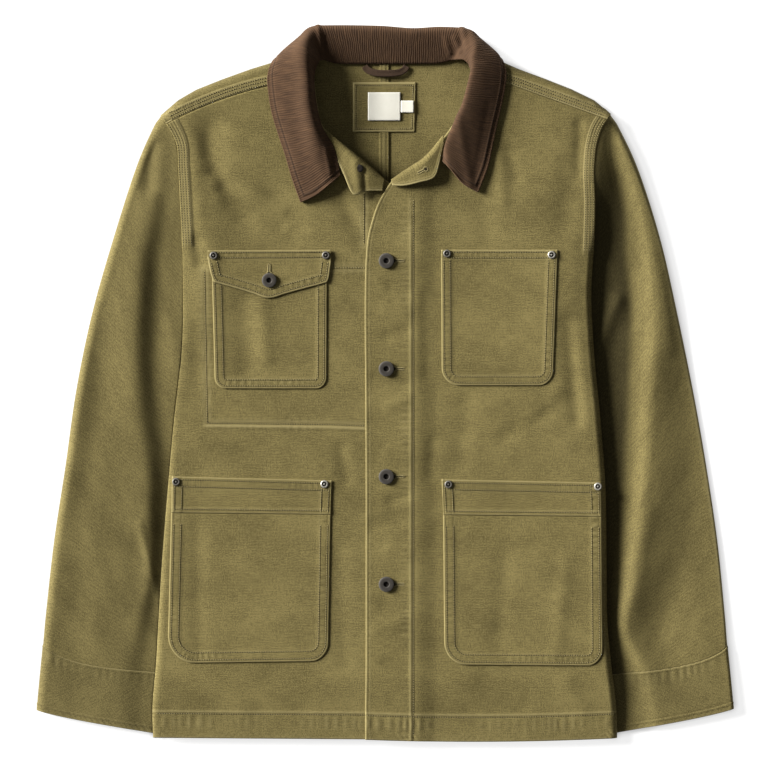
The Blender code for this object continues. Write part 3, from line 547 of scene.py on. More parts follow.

# %% [markdown]
# Washing rubs the dye off every raised place: folded rims, seam ridges and the tops of the puckers turn pale.
# Shade is painted as well: the stitched grooves, the hollows of the puckers and some folds are drawn darker.
# The mesh code knows where those places are, and stores them on each point as an attribute: x is rubbed, with
# painted light on one sleeve's shaded outer fold, and y is painted shade.  This group breaks them up with
# noise.

# %% Wear and painted shade on seams
seam_wear_and_shade, wear_in, wear_out = new_group("seam_wear_and_shade", ["Cloth", "Wear_and_shade"], ["Rubbed_and_painted_light", "Painted_shade"])
wear_place = in_mm(seam_wear_and_shade, wear_in["Cloth"])
fleck = stretched_noise(seam_wear_and_shade, wear_place, (0.45, 0.45, 2.0), 3.0, 0.7)
breakup = sum_up(seam_wear_and_shade, (fleck, 1.5), start=0.25)
wear_axes = axes(seam_wear_and_shade, wear_in["Wear_and_shade"])
# x: rubbed pale, with painted light on one shaded rim; y: painted shade in grooves, hollows and folds
for axis, label in (("X", "Rubbed_and_painted_light"), ("Y", "Painted_shade")):
    broken = calc(seam_wear_and_shade, "MULTIPLY", wear_axes[axis], breakup, clamp=True)
    feed(seam_wear_and_shade, wear_out, {label: broken})
print("seam_wear_and_shade:", len(seam_wear_and_shade.nodes), "nodes")

# %% Olive canvas
def blend_colour(tree, factor, first, second):
    """Mix node for colours; first and second are sockets or colours."""
    colours = {6: first, 7: second}
    for place, value in colours.items():
        if not isinstance(value, bpy.types.NodeSocket):
            colours[place] = (*value, 1)
    return put(tree, "ShaderNodeMix", {0: factor, **colours}, data_type="RGBA").outputs[2]


def new_material(name, roughness, metallic=0.0, sheen=0.0, sheen_tint=(1, 1, 1)):
    """A material with its shader's own constants set; returns it, its tree and shader."""
    made = bpy.data.materials.new(name)
    made.use_nodes = True
    shader = made.node_tree.nodes["Principled BSDF"]
    surface = {"Roughness": roughness, "Metallic": metallic, "Specular IOR Level": 0.25}
    surface.update({"Sheen Weight": sheen, "Sheen Roughness": 0.5, "Sheen Tint": (*sheen_tint, 1)})
    feed(made.node_tree, shader, surface)
    return made, made.node_tree, shader


def cloth_uv(tree, turn=0.0):
    """The piece's UV map, with its grain turned by an angle in degrees."""
    uv = put(tree, "ShaderNodeUVMap", uv_map="cloth").outputs[0]
    if not turn:
        return uv
    rotation = (0, 0, math.radians(turn))
    return put(tree, "ShaderNodeMapping", {"Vector": uv, "Rotation": rotation}).outputs[0]


def worn_by(tree, group, **places):
    """A wear group's outputs, for a place and the piece's own attribute: wear, and for cloth painted shade.
    """
    stored = put(tree, "ShaderNodeAttribute", attribute_name="wear_and_shade").outputs["Vector"]
    return put(tree, "ShaderNodeGroup", {**places, "Wear_and_shade": stored}, node_tree=group).outputs


def paint(tree, shader, colour, height, strength, distance):
    """Gives the shader its colour, and its bump from a height."""
    inputs = {"Height": height, "Strength": strength, "Distance": distance}
    bump = put(tree, "ShaderNodeBump", inputs).outputs[0]
    feed(tree, shader, {"Base Color": colour, "Normal": bump})


def deeper(colour, share):
    return tuple(channel * share for channel in colour)


def canvas_material(name, dark, light, rubbed_and_lit_colour, turn=0.0):
    """Weave tone between two colours, paler where rubbed and where light is painted on one shaded rim, and
    deeper where shade is painted.
    """
    made, tree, shader = new_material(name, 0.92)
    uv = cloth_uv(tree, turn)
    threads = put(tree, "ShaderNodeGroup", {"Cloth": uv}, node_tree=weave).outputs
    worn_and_shaded = worn_by(tree, seam_wear_and_shade, Cloth=uv)
    base = blend_colour(tree, threads["Tone"], dark, light)
    # paler where rubbed, and painted light on the shaded outer fold of one sleeve
    base = blend_colour(tree, worn_and_shaded["Rubbed_and_painted_light"], base, rubbed_and_lit_colour)
    # painted shade: deeper tone in stitched grooves, pucker hollows and folds
    base = blend_colour(tree, worn_and_shaded["Painted_shade"], base, deeper(dark, 0.42))
    paint(tree, shader, base, threads["Height"], 0.22, 0.0004)
    return made


CANVAS_TONES = (0.080, 0.063, 0.019), (0.205, 0.166, 0.06), (0.27, 0.225, 0.098)
SLEEVE_TONE = 0.93
SLEEVE_GRAIN = 34  # degrees that a sleeve's threads lean outward
sleeve_tones = [deeper(tone, SLEEVE_TONE) for tone in CANVAS_TONES]
canvas = canvas_material("olive_canvas_weave", *CANVAS_TONES)
sleeve_canvas = {
    side: canvas_material(f"olive_canvas_{side}_sleeve", *sleeve_tones, -sign * SLEEVE_GRAIN)
    for side, sign in SIDES.items()
}
print("canvas materials ready")

# %% [markdown]
# Corduroy is a pile cut in raised cords, or wales.  On this collar they run across the strip, so they stand
# upright at the back of the neck and lie level on the two leaves.  The UV map's first axis runs along the
# strip, and a sine of it makes the wales.  The pile is paler on the crown of a wale and where the roll has
# been rubbed; the grooves between the wales get painted shade.

# %% Brown corduroy
WALE = 2.3  # mm from one wale to the next

wales, wales_in, wales_out = new_group(
    "corduroy_wales", ["Cloth"], ["Crown_and_groove_shade", "Nap", "Height"], {"Pitch": WALE}
)
on_strip = in_mm(wales, wales_in["Cloth"])
drift = stretched_noise(wales, on_strip, (0.11, 0.05, 1.0), 1.0)
length_on_strip = sum_up(wales, (axes(wales, on_strip)["X"], 1.0), (drift, 3.4))
turns = calc(wales, "DIVIDE", length_on_strip, wales_in["Pitch"])
crown = sum_up(wales, (wave(wales, turns, 1), 0.5), start=0.5)
nap_noise = stretched_noise(wales, on_strip, (0.16, 0.06, 4.0), 3.0, 0.65)
fibre = stretched_noise(wales, on_strip, (1.4, 0.7, 8.0), 2.0, 0.6)
uneven = stretched_noise(wales, on_strip, (0.46, 0.07, 11.0), 1.0, 0.6)
feed(wales, wales_out, {
    "Crown_and_groove_shade": sum_up(wales, (crown, 0.32), (uneven, 1.15), start=-0.22),
    "Nap": sum_up(wales, (nap_noise, 0.7), (fibre, 0.3)),
    "Height": sum_up(wales, (crown, 1.0), (fibre, 0.35)),
})

corduroy, tree, shader = new_material("brown_corduroy_wales", 0.95, sheen=0.14, sheen_tint=(0.6, 0.4, 0.24))
uv = cloth_uv(tree)
piled = put(tree, "ShaderNodeGroup", {"Cloth": uv, "Pitch": WALE}, node_tree=wales).outputs
worn_and_shaded = worn_by(tree, seam_wear_and_shade, Cloth=uv)
base = blend_colour(tree, piled["Nap"], (0.034, 0.0165, 0.0074), (0.124, 0.066, 0.031))
# painted shade: the grooves between the wales drawn near black, the crowns paler as worn pile
ridge = blend_colour(tree, piled["Crown_and_groove_shade"], (0.025, 0.0125, 0.0062), base)
ridge = blend_colour(tree, worn_and_shaded["Rubbed_and_painted_light"], ridge, (0.16, 0.092, 0.05))
# painted shade in the stitched groove of the collar
ridge = blend_colour(tree, worn_and_shaded["Painted_shade"], ridge, (0.01, 0.006, 0.004))
paint(tree, shader, ridge, piled["Height"], 0.34, 0.0008)
print("corduroy: wales", WALE, "mm apart")

# %% [markdown]
# The small finishes: a tonal sewing thread, the brown tape of the hanger loop, the white
# woven labels, dark gunmetal for the buttons and aged steel for the rivets.  The metals
# share one wear group that rubs the edges bright and leaves dirt in the hollows.

# %% Thread, tape and labels
def speckled_material(name, dark, light, grains=900, roughness=0.8, strength=0.3):
    """Two tones in grains, so many to the metre."""
    made, tree, shader = new_material(name, roughness)
    place = put(tree, "ShaderNodeTexCoord").outputs["Object"]
    speck = stretched_noise(tree, place, (grains,) * 3, 2.0)
    paint(tree, shader, blend_colour(tree, speck, dark, light), speck, strength, 0.0003)
    return made


olive_thread = speckled_material("olive_thread", (0.17, 0.14, 0.058), (0.3, 0.25, 0.11))
hole_shade = speckled_material("needle_hole_shade", (0.012, 0.009, 0.003), (0.026, 0.02, 0.008))
brown_thread = speckled_material("brown_thread", (0.03, 0.015, 0.008), (0.085, 0.046, 0.024))
slit_shade = speckled_material("buttonhole_shadow", (0.012, 0.009, 0.004), (0.04, 0.032, 0.014), 600, 0.95, 0)

tape, tree, shader = new_material("brown_tape_twill", 0.9)
twill_place = in_mm(tree, cloth_uv(tree))
twill_axes = axes(tree, twill_place)
slant = sum_up(tree, (twill_axes["X"], 1.0), (twill_axes["Y"], 1.0))
twill_line = sum_up(tree, (wave(tree, slant, 0.9), 0.5), start=0.5)
tape_noise = stretched_noise(tree, twill_place, (0.5, 0.5, 1.0), 3.0)
tape_tone = sum_up(tree, (twill_line, 0.4), (tape_noise, 0.7))
tape_colour = blend_colour(tree, tape_tone, (0.018, 0.0095, 0.005), (0.062, 0.035, 0.019))
paint(tree, shader, tape_colour, tape_tone, 0.4, 0.0004)

label_cloth, tree, shader = new_material("white_woven_label", 0.7)
satin_place = in_mm(tree, cloth_uv(tree))
satin = stretched_noise(tree, satin_place, (0.35, 3.0, 1.0), 2.0)
yellowing = stretched_noise(tree, satin_place, (0.06, 0.06, 3.0), 2.0)
label_tone = sum_up(tree, (satin, 0.5), (yellowing, 0.6))
label_colour = blend_colour(tree, label_tone, (0.62, 0.605, 0.52), (0.80, 0.785, 0.70))
paint(tree, shader, label_colour, satin, 0.25, 0.0002)
print("thread, tape and label finishes ready")

# %% Dark metal
metal_wear, metal_in, metal_out = new_group("metal_wear", ["Place", "Wear_and_shade"], ["Bright", "Dirt", "Grain"])
scuffs = stretched_noise(metal_wear, metal_in["Place"], (700,) * 3, 3.0, 0.7)
blotches = stretched_noise(metal_wear, metal_in["Place"], (160,) * 3, 2.0, 0.6)
metal_axes = axes(metal_wear, metal_in["Wear_and_shade"])
spots = {"X": ("Bright", scuffs, 1.4, 0.2), "Y": ("Dirt", blotches, 1.0, 0.5)}
for axis, (label, noise, factor, least) in spots.items():
    broken_by = sum_up(metal_wear, (noise, factor), start=least)
    broken = calc(metal_wear, "MULTIPLY", metal_axes[axis], broken_by, clamp=True)
    feed(metal_wear, metal_out, {label: broken})
feed(metal_wear, metal_out, {"Grain": sum_up(metal_wear, (scuffs, 0.6), (blotches, 0.4))})


def metal_material(name, dull, shiny, roughness, metallic):
    """Dull metal, bright on rubbed edges and near black in its hollows."""
    made, tree, shader = new_material(name, roughness, metallic=metallic)
    place = put(tree, "ShaderNodeTexCoord").outputs["Object"]
    worn_and_shaded = worn_by(tree, metal_wear, Place=place)
    base = blend_colour(tree, worn_and_shaded["Grain"], deeper(dull, 0.55), dull)
    base = blend_colour(tree, worn_and_shaded["Bright"], base, shiny)
    base = blend_colour(tree, worn_and_shaded["Dirt"], base, (0.009, 0.006, 0.0035))
    paint(tree, shader, base, worn_and_shaded["Grain"], 0.2, 0.0002)
    return made


gunmetal = metal_material("gunmetal_worn", (0.06, 0.053, 0.045), (0.125, 0.117, 0.104), 0.58, 0.3)
steel = metal_material("aged_steel_worn", (0.05, 0.045, 0.038), (0.17, 0.16, 0.138), 0.5, 0.5)
bright_steel = metal_material("aged_steel_bright", (0.09, 0.083, 0.07), (0.5, 0.48, 0.42), 0.42, 0.6)
print("metals ready")

# %% [markdown]
# ## From a grid of points to a piece of cloth
# Each piece is a grid: rows and columns of points in millimetres.  Its quads are read off the grid, a UV map
# keeps the place on the cloth in metres, an attribute keeps the rub and the painted shade, and a Solidify
# modifier gives the cloth its thickness.  The piece then rides on the frame and stands for its node.

# %% Cloth pieces
def steps(grid, axis):
    """Length of each step along the rows (axis 1) or the columns (axis 0) of a grid."""
    return np.linalg.norm(np.diff(grid, axis=axis), axis=2)


def walked_over(grid, axis):
    """Length walked along the rows or the columns to each point of a grid."""
    start = ((1, 0), (0, 0)) if axis == 0 else ((0, 0), (1, 0))
    return np.pad(np.cumsum(steps(grid, axis), axis=axis), start)


def cloth_lengths(grid):
    """UV of a grid: how far each point is along its row and its column, in metres."""
    u = walked_over(grid, 1)
    return stack(u - u[:, u.shape[1] // 2][:, None], walked_over(grid, 0)) * MM


def normals_of(grid, ring=False):
    """Unit normals: the cross product of the run along the rows and up the columns."""
    if ring:
        wrapped = np.concatenate([grid[:, -1:], grid, grid[:, :1]], axis=1)
        run = (wrapped[:, 2:] - wrapped[:, :-2]) / 2
    else:
        run = np.gradient(grid, axis=1)
    return unit(np.cross(run, np.gradient(grid, axis=0)))


def quads(rows, columns):
    index = np.arange(rows * columns).reshape(rows, columns)
    return stack(index[:-1, :-1], index[:-1, 1:], index[1:, 1:], index[1:, :-1]).reshape(-1, 4)


def new_mesh(name, points, faces, finish):
    """A mesh of one finish from points in millimetres."""
    mesh = bpy.data.meshes.new(name)
    mesh.from_pydata((points * MM).tolist(), [], faces)
    mesh.materials.append(finish)
    return mesh


# x is rubbed pale, with painted light on one shaded rim; y is painted shade on cloth and dirt on metal
def keep_wear_and_shade(mesh, rubbed, painted_shade_and_dirt):
    stored = mesh.attributes.new("wear_and_shade", "FLOAT_VECTOR", "POINT")
    stored.data.foreach_set("vector", stack(rubbed, painted_shade_and_dirt, 0.0).astype(np.float32).ravel())


def new_object(mesh, slot, node=None):
    """The mesh as an object that rides on the frame, and stands for its node if it has one."""
    made = bpy.data.objects.new(mesh.name, mesh)
    bpy.context.collection.objects.link(made)
    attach(made, "root")
    if node:
        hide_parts(node)
    return made


FRONTS = ["front_right_canvas", "front_left_canvas"]
BACKS = ["back_right_canvas", "back_left_canvas"]
HELD = {  # how a sheet is held and what it rests on, by the first word of its name
    "back": ("laid", ["floor"]),
    "front": ("laid", BACKS),
    "sleeve": ("laid", ["floor"]),
    "cuff": ("laid", ["floor"]),
    "collar": ("folded", FRONTS + BACKS),
    "facing": ("folded", FRONTS),
    "chest": ("laid", FRONTS),
    "lower": ("laid", FRONTS),
    "inside": ("laid", BACKS),
    "label": ("laid", BACKS),
    "size": ("laid", ["label_patch_canvas"]),
}


def cut_of(grid):
    """Flat cut of a grid of points: its longest row, its longest column and its area."""
    first = grid[1:, 1:] - grid[:-1, :-1]
    second = grid[1:, :-1] - grid[:-1, 1:]
    area = np.linalg.norm(np.cross(first, second), axis=2).sum() / 2
    wide, long = (float(steps(grid, axis).sum(axis=axis).max()) * MM for axis in (1, 0))
    return wide, long, float(area) * MM * MM


def cloth_piece(
    name, grid, relief=None, uv=None, finish=canvas, slot="olive_canvas", node=None,
    thickness=CLOTH, ring=False, turned=1,
):
    """Builds a piece whose row direction crossed with its column direction looks out of
    the cloth; turned is -1 where the grid's rows run the other way.  A ring's last column
    joins its first.  The piece stands for the node that its name starts with."""
    grid = grid[:, ::turned]
    relief = np.zeros(grid.shape) if relief is None else relief[:, ::turned]
    closed = np.concatenate([grid, grid[:, :1]], axis=1) if ring else grid
    uv = cloth_lengths(closed) if uv is None else uv[:, ::turned]
    rows, columns = grid.shape[:2]
    wide = closed.shape[1]
    places = quads(rows, wide)
    faces = (places // wide) * columns + (places % wide) % columns
    mesh = new_mesh(name, grid.reshape(-1, 3), faces.tolist(), finish)
    mesh.shade_smooth()
    layer = mesh.uv_layers.new(name="cloth")
    layer.data.foreach_set("uv", uv.reshape(-1, 2)[places.ravel()].astype(np.float32).ravel())
    keep_wear_and_shade(mesh, relief[..., 1], relief[..., 2])
    made = new_object(mesh, slot, node or name.rsplit("_", 1)[0])
    solid = made.modifiers.new("thickness", "SOLIDIFY")
    solid.thickness = thickness * MM
    solid.offset = 0
    cut_wide, cut_long, area = cut_of(closed)
    if name.split("_")[0] in HELD:
        way, rests_on = HELD[name.split("_")[0]]
        flat_area = min(area, cut_wide * cut_long)
        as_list(rests_on)
    print(f"{name}: {rows} x {columns} points, cut {cut_wide:.3f} x {cut_long:.3f} m, {area:.4f} m2")


# %% [markdown]
# ## How a seam shapes the cloth
# A folded edge turns down at its rim, and the seam allowance inside it lifts a band as wide as the stitching.
# Every stitch row pulls a narrow groove.  The thread shrinks in the wash more than the canvas, so the band
# gathers into puckers: a sine along the seam whose pitch and strength wander.  The same formulas say where
# the dye rubs off, and where shade is painted into the grooves and the hollows of the puckers.

# %% Seam relief
PUCKER = 6.8  # mm from one pucker to the next


def puckers(along_seam, seed, pitch=PUCKER):
    """Uneven ripples from -1 to 1 along a seam."""
    wander = 1.7 * np.sin(along_seam / 21.0 + seed) + 1.3 * np.sin(along_seam / 7.9 + 2.3 * seed)
    strength = 0.5 + 0.3 * np.sin(along_seam / 29.0 + 1.9 * seed) + 0.2 * np.sin(along_seam / 11.3 + seed)
    return np.sin(2 * math.pi * along_seam / pitch + wander) * strength


def peaks(waves):
    """The part of a ripple above its middle level."""
    return np.clip(waves, 0, 1)


def seam_relief(distance, raised, rubbed, painted_shade_and_dirt, ripples=(), base=(0.0, 0.0, 0.0)):
    """Lift, rub and painted shade beside a seam.  Each is a base and a sum of bells of (height, centre,
    width) over the distance.  A ripple of (puckers, where, heights) lifts and rubs its peaks and paints shade
    into its hollows."""
    parts = list(base)
    for part, rows in enumerate((raised, rubbed, painted_shade_and_dirt)):
        parts[part] = parts[part] + sum(height * bell(distance, *at) for height, *at in rows)
    for ripple, where, heights in ripples:
        for part, shown in enumerate((ripple, peaks(ripple), peaks(-ripple))):
            parts[part] = parts[part] + heights[part] * shown * where
    return stack(*parts)


def rim_of(distance, radius):
    """1 on a folded rim, falling to 0 at one radius in."""
    return 1 - round_off(distance, radius)


def folded_band(distance, along_seam, seed, stitch_rows, pucker_height=0.3, lift=0.5):
    """Lift, rub and painted shade of a folded, stitched edge.  distance is from its rim."""
    first, last = stitch_rows[0], stitch_rows[-1]
    level = lift * ease((last + 3.6 - distance) / 4.2) - 0.3 * rim_of(distance, 1.3)
    between = bell(distance, (first + last) / 2, max(last - first, 2.0) * 0.42)
    return seam_relief(
        distance,
        [(-0.24, row, 0.75) for row in stitch_rows],
        [(0.62, 0.5, 0.95), (0.22, last + 1.6, 0.8)],
        [(0.12, row, 0.75) for row in stitch_rows],
        [(puckers(along_seam, seed), between, (pucker_height, 0.3, 0.25))],
        (level, 0, 0),
    )


def groove_line(distance, along_seam, seed, side_of=0.0, pucker_height=0.22):
    """A single stitch row through flat cloth: a groove with puckers beside it."""
    ripples = [(puckers(along_seam, seed), bell(distance, 4.0 + side_of, 3.2), (pucker_height, 0.2, 0.18))]
    raised = [(-0.2, 0, 1.9), (0.16, 4.4, 1.9)]
    return seam_relief(distance, raised, [(0.34, 2.6, 1.5)], [(0.14, 0, 1.7)], ripples)


print("pucker check:", round(float(puckers(np.array([10.0]), 1.0)[0]), 3))

# %% [markdown]
# ## The front panels
# Each front is a row of points from its side fold or armhole to its front edge, repeated
# from the hem to the shoulder.  The columns keep a fixed distance from both edges, where
# the seams are, and share out the plain cloth between them.  The left front carries the
# button stand and laps over the right one, and the right front shows the stitched
# outline of a pocket bag inside it.

# %% Panel tables
FRONT = table("outer_y inner_x inner_y bow", {
    "right": [
        (-380, 28, -382, 0),
        (-345, 28, -346, 0),
        (-300, 28, -300, 0),
        (-200, 28, -200, 0),
        (-100, 28, -100, 0),
        (0, 28, 0, 0),
        (90, 28, 90, 0),
        (147.3, 28, 150, 0),
        (172, 26, 184, 0),
        (196, 14, 208, 0),
        (218, -8, 226.6, 0),
        (236, -36, 250.7, 0),
        (250, -64.5, 275.2, 0),
        (264, -71.5, 300, 3),
        (279, -75, 327, 9),
    ],
    "left": [
        (-380.5, -20, -382, -3),
        (-345, -20, -346, -2),
        (-300, -19.5, -300, 0),
        (-200, -19.5, -200, 0),
        (-100, -19.5, -100, 0),
        (0, -20, 0, 0),
        (90, -20.5, 90, 0),
        (140.8, -18.5, 147, 0),
        (168, -12, 178, 0),
        (192, -2.6, 201, 0),
        (210, 13.4, 223, 0),
        (225, 40.6, 240.8, 0),
        (240, 62, 262.3, 0),
        (252, 76, 282, 0),
        (266, 88, 306, 0),
        (284, 95, 336, 0),
    ],
})
PLACKET_STITCH = 31.2  # x of the row that holds the button stand down
HEM_STITCH = 26.0  # above the hem edge
ARMHOLE_ROWS = (1.5, 4.4, 7.3, 10.0)
ARMHOLE_BAND = 10.8
BAG_OUTLINE = [(-56, 124.7), (-20, 124.7)], [(-192.7, 122), (-189.8, -42), (-60, -43.5), (-19, -45)]
UNDERLAP_STITCH = [(-21.5, 206), (-21.5, 150)]
outer_fold = [0, 0.25, 0.6, 1.1, 1.7, 2.4, 3.2, 4.1, 5, 5.8, 6.6, 7.4, 8.2, 9, 9.8, 10.4, 11, 12]
front_edge = {  # columns of the outer 60 mm, closest beside the stitches of the button stand
    "right": graded((60, 12, 2.6), (12, 0, 1.2)),
    "left": graded((60, 57, 1.5), (57, 41, 1.2), (41, 6, 1.9), (6, 0, 0.75)),
}


def front_grid(side):
    """Rows climb from the hem.  Columns run from the outer to the inner edge, at fixed
    distances from both edges, with an even share-out between."""
    rows, sign = FRONT[side], SIDES[side]
    dense = np.linspace(0, len(rows) - 1, 900)
    bottom, top = rows[0].outer_y, rows[-1].outer_y
    beside_bag = 1.0 if side == "right" else 2.5  # step of the rows at the foot of the bag
    runs = [(bottom, bottom + 3, 0.6), (bottom + 3, bottom + 32, 0.95), (bottom + 32, -52, 2.5)]
    runs += [(-52, -38, beside_bag), (-38, top - 4, 2.4), (top - 4, top, 0.9)]
    v = np.interp(graded(*runs), along(rows, "outer_y", dense), dense)[:, None]
    outer_y, inner_x, inner_y, bow = along(rows, "outer_y inner_x inner_y bow", v)
    outer_x = body_edge(side, outer_y) - sign * GAP / 2
    first, last = outer_x - sign * np.array(outer_fold), inner_x + sign * front_edge[side]
    middle = mix(first[:, -1:], last[:, :1], np.linspace(0, 1, 63)[1:-1])
    x = np.concatenate([first, middle, last], axis=1)
    u = (outer_x - x) / (outer_x - inner_x)
    y = mix(outer_y, inner_y, u) + bow * 4 * u * (1 - u)
    return x, y, np.abs(outer_x - x), np.abs(x - inner_x)


def hem_edge(side, x):
    """y of the hem's edge below a place on a front."""
    row = FRONT[side][0]
    outer_x = body_edge(side, row.outer_y)
    u = np.clip((outer_x - x) / (outer_x - row.inner_x), 0, 1)
    return mix(row.outer_y, row.inner_y, u) + row.bow * 4 * u * (1 - u)


print("columns in the outer fold:", len(outer_fold))

# %% Seams on the fronts
def hem_relief(distance, x, seed):
    """The turned hem: a stitched groove, upright puckers, and slanted roping below."""
    roping = puckers(x + 0.9 * distance, seed + 2.0, 6.4)
    return seam_relief(
        distance,
        [(-0.4, HEM_STITCH, 0.9), (0.42, 28.2, 1.5)],
        [(0.5, 28.4, 1.3), (0.4, 0.8, 0.9)],
        [(0.2, HEM_STITCH, 0.8)],
        [
            (puckers(x, seed, 9.2), bell(distance, 17.5, 7.5), (0.42, 0.36, 0.26)),
            (roping, bell(distance, 4.0, 4.0), (0.3, 0.25, 0.2)),
        ],
        (0.3 * ease((HEM_STITCH + 0.6 - distance) / 1.2) - 0.6 * rim_of(distance, 1.2), 0, 0),
    )


def armhole_relief(side, distance, y, seed):
    """The felled armhole: a raised band with a groove for each row of stitches."""
    here = ease((y - UNDERARM[side] + 6) / 12)
    inside = ease((ARMHOLE_BAND + 0.9 - distance) / 1.3)
    ridges = sum(bell(distance, row + 1.45, 0.6) for row in ARMHOLE_ROWS)
    relief = seam_relief(
        distance,
        [(-0.42, row, 0.62) for row in ARMHOLE_ROWS],
        [(0.4, ARMHOLE_BAND - 0.2, 0.6)],
        [(0.5, row, 0.62) for row in ARMHOLE_ROWS] + [(0.5, ARMHOLE_BAND + 1.4, 0.6)],
        [(puckers(y, seed, 6.0), inside, (0.14, 0.16, 0))],
        (inside - 0.5 * rim_of(distance, 0.8), 0.34 * ridges * inside, 0),
    )
    return relief * here[..., None]


def front_relief(side, x, y, from_outer, from_inner):
    """Everything that the seams do to a front panel."""
    seed = 1.3 if side == "right" else 4.1
    relief = hem_relief(y - hem_edge(side, x), x, seed)
    relief = relief + armhole_relief(side, from_outer, y, seed)
    if side == "left":
        edge = folded_band(from_inner, y, 2.2, (3.2,), 0.1, 0.25)
        edge[..., 2] *= 0.5
        beside = x - PLACKET_STITCH
        stand = seam_relief(
            beside,
            [(-0.5, 0.4, 0.9), (0.42, -2.6, 1.4)],
            [(0.5, -2.8, 1.1)],
            [(0.25, 0.4, 0.8)],
            [(puckers(y, 5.2, 7.0), bell(beside, -8.5, 5.5), (0.28, 0.3, 0.24))],
        )
        return relief + edge + stand * ease((205 - y) / 10)[..., None]
    for line, seed in zip(BAG_OUTLINE, (0.4, 3.3)):
        relief = relief + groove_line(*distance_along(x, y, line), seed, 1.0, 0.2)
    distance, _ = distance_along(x, y, BAG_OUTLINE[1][1:])
    below = y < -43
    relief[..., 0] += 0.45 * bell(distance, 3.2, 1.9) * below
    relief[..., 1] += 0.35 * bell(distance, 3.0, 1.5) * below
    relief = relief + groove_line(*distance_along(x, y, UNDERLAP_STITCH), 6.0)
    return relief + folded_band(from_inner, y, 2.2, (3.2,), 0.1, 0.2)


for side, sign in SIDES.items():
    x, y, from_outer, from_inner = front_grid(side)
    relief = front_relief(side, x, y, from_outer, from_inner)
    z = front_height(side, x, y) + relief[..., 0] * round_off(from_outer, 0.6)
    cloth_piece(f"front_{side}_canvas", stack(x, y, z), relief, stack(x, y) * MM, turned=-sign)

# %% [markdown]
# ## The back panels
# The back lies on the floor and turns up at the sides.  At the neck it ends in the seam
# of the collar, and along each shoulder it wraps over to the front, where a felled seam
# with three rows of stitches joins it to the front panel.  The centre back seam is
# felled too, and shows inside the neck.

# %% Back panels
BACK_TOP = table("p x y rise extent", {
    "right": [
        (0.0, CENTRE_BACK + 0.2, 346, 0, 0.4),
        (0.5, -30, 346, 0, 0.4),
        (1.0, -60, 347, 0, 0.4),
        (1.25, -66, 349.5, 0.5, 0.5),
        (1.5, -70.5, 352.5, 0.85, 0.65),
        (1.75, -74.5, 355, 1, 0.82),
        (2.0, -78, 357, 1, 1),
        (2.14, -100, 352, 1, 1),
        (2.26, -119.3, 345.6, 1, 1),
        (2.42, -144, 338, 1, 1),
        (2.61, -175, 326.8, 1, 1),
        (2.78, -202, 316, 1, 1),
        (2.9, -221, 305, 1, 1),
        (3.0, -240.2, 288.3, 1, 1),
    ],
    "left": [
        (0.0, CENTRE_BACK - 1.3, 346, 0, 0.4),
        (0.5, 40, 346.5, 0, 0.4),
        (1.0, 74, 349, 0, 0.4),
        (1.25, 81, 351.5, 0.5, 0.5),
        (1.5, 86.5, 354.5, 0.85, 0.65),
        (1.75, 92, 357, 1, 0.82),
        (2.0, 97, 359, 1, 1),
        (2.2, 124.7, 347.2, 1, 1),
        (2.34, 144, 338.6, 1, 1),
        (2.53, 172.6, 328, 1, 1),
        (2.73, 201.5, 316.6, 1, 1),
        (2.9, 226.4, 304.5, 1, 1),
        (3.0, 243.6, 289.8, 1, 1),
    ],
})
SHOULDER_ROWS = (1.8, 5.4, 8.6)
SHOULDER_BAND = 10.6
CENTRE_ROWS = (-2.6, 2.6)


def shoulder_seam(side, c):
    """Points of the forward shoulder seam, from the neck (c = 0) to the armhole."""
    top = FRONT[side][-1]
    outer_x = body_edge(side, top.outer_y)
    x = mix(top.inner_x, outer_x, c)
    y = mix(top.inner_y, top.outer_y, c) + top.bow * 4 * c * (1 - c) + SHOULDER_GAP
    return x, y


def back_panel(side, v, p, q):
    """Rows v climb from the hem to the foot of the shoulder fold; rows q wrap over it."""
    rows = BACK_TOP[side]
    knots = column(rows, "p")
    top_x, top_y, rise, extent = (
        np.interp(p, knots, column(rows, name)) for name in ("x", "y", "rise", "extent")
    )
    seam_x, seam_y = shoulder_seam(side, np.clip(p - 2, 0, 1))
    span = np.hypot(seam_x - top_x, seam_y - top_y)
    level_at = np.minimum(FOLD_TOP, 0.6 * span)
    in_x = (seam_x - top_x) / span * rise
    in_y = (seam_y - top_y) / span * rise - (1 - rise)
    foot_x = top_x + in_x * RIDGE_UNDER
    foot_y = top_y + in_y * RIDGE_UNDER

    share = (top_x - top_x[0]) / (top_x[-1] - top_x[0])
    outer_y = mix(-380, foot_y[-1], v)[:, None]
    inner_y = mix(HEM_Y, foot_y[0], v)[:, None]
    outer_x = body_edge(side, outer_y) - SIDES[side] * GAP / 2
    x = mix(top_x[0], outer_x, share[None, :])
    y = mix(inner_y, outer_y, share[None, :])
    pull = ease((v[:, None] - 0.6) / 0.4)
    x = x + pull * (foot_x - x[-1])
    y = y + pull * (foot_y - y[-1])
    flat = stack(x, y, back_height(side, x, y))

    reach = q[:, None] * extent
    turn = np.clip(reach / 0.4, 0, 1) * math.pi / 2
    over = np.clip((reach - 0.4) / 0.25, 0, 1) * math.pi / 2
    strip = np.clip((reach - 0.65) / 0.35, 0, 1)
    inward = np.where(reach < 0.4, RIDGE_UNDER * (1 - np.sin(turn)), level_at * (1 - np.cos(over)))
    half = (LOFT - FLOOR) / 2
    lift = rise * half * (1 - np.cos(turn) + np.sin(over))
    wrap_x = mix(top_x + in_x * inward, seam_x, strip)
    wrap_y = mix(top_y + in_y * inward, seam_y, strip)
    wrap = stack(wrap_x, wrap_y, FLOOR + lift)
    return np.concatenate([flat, wrap])


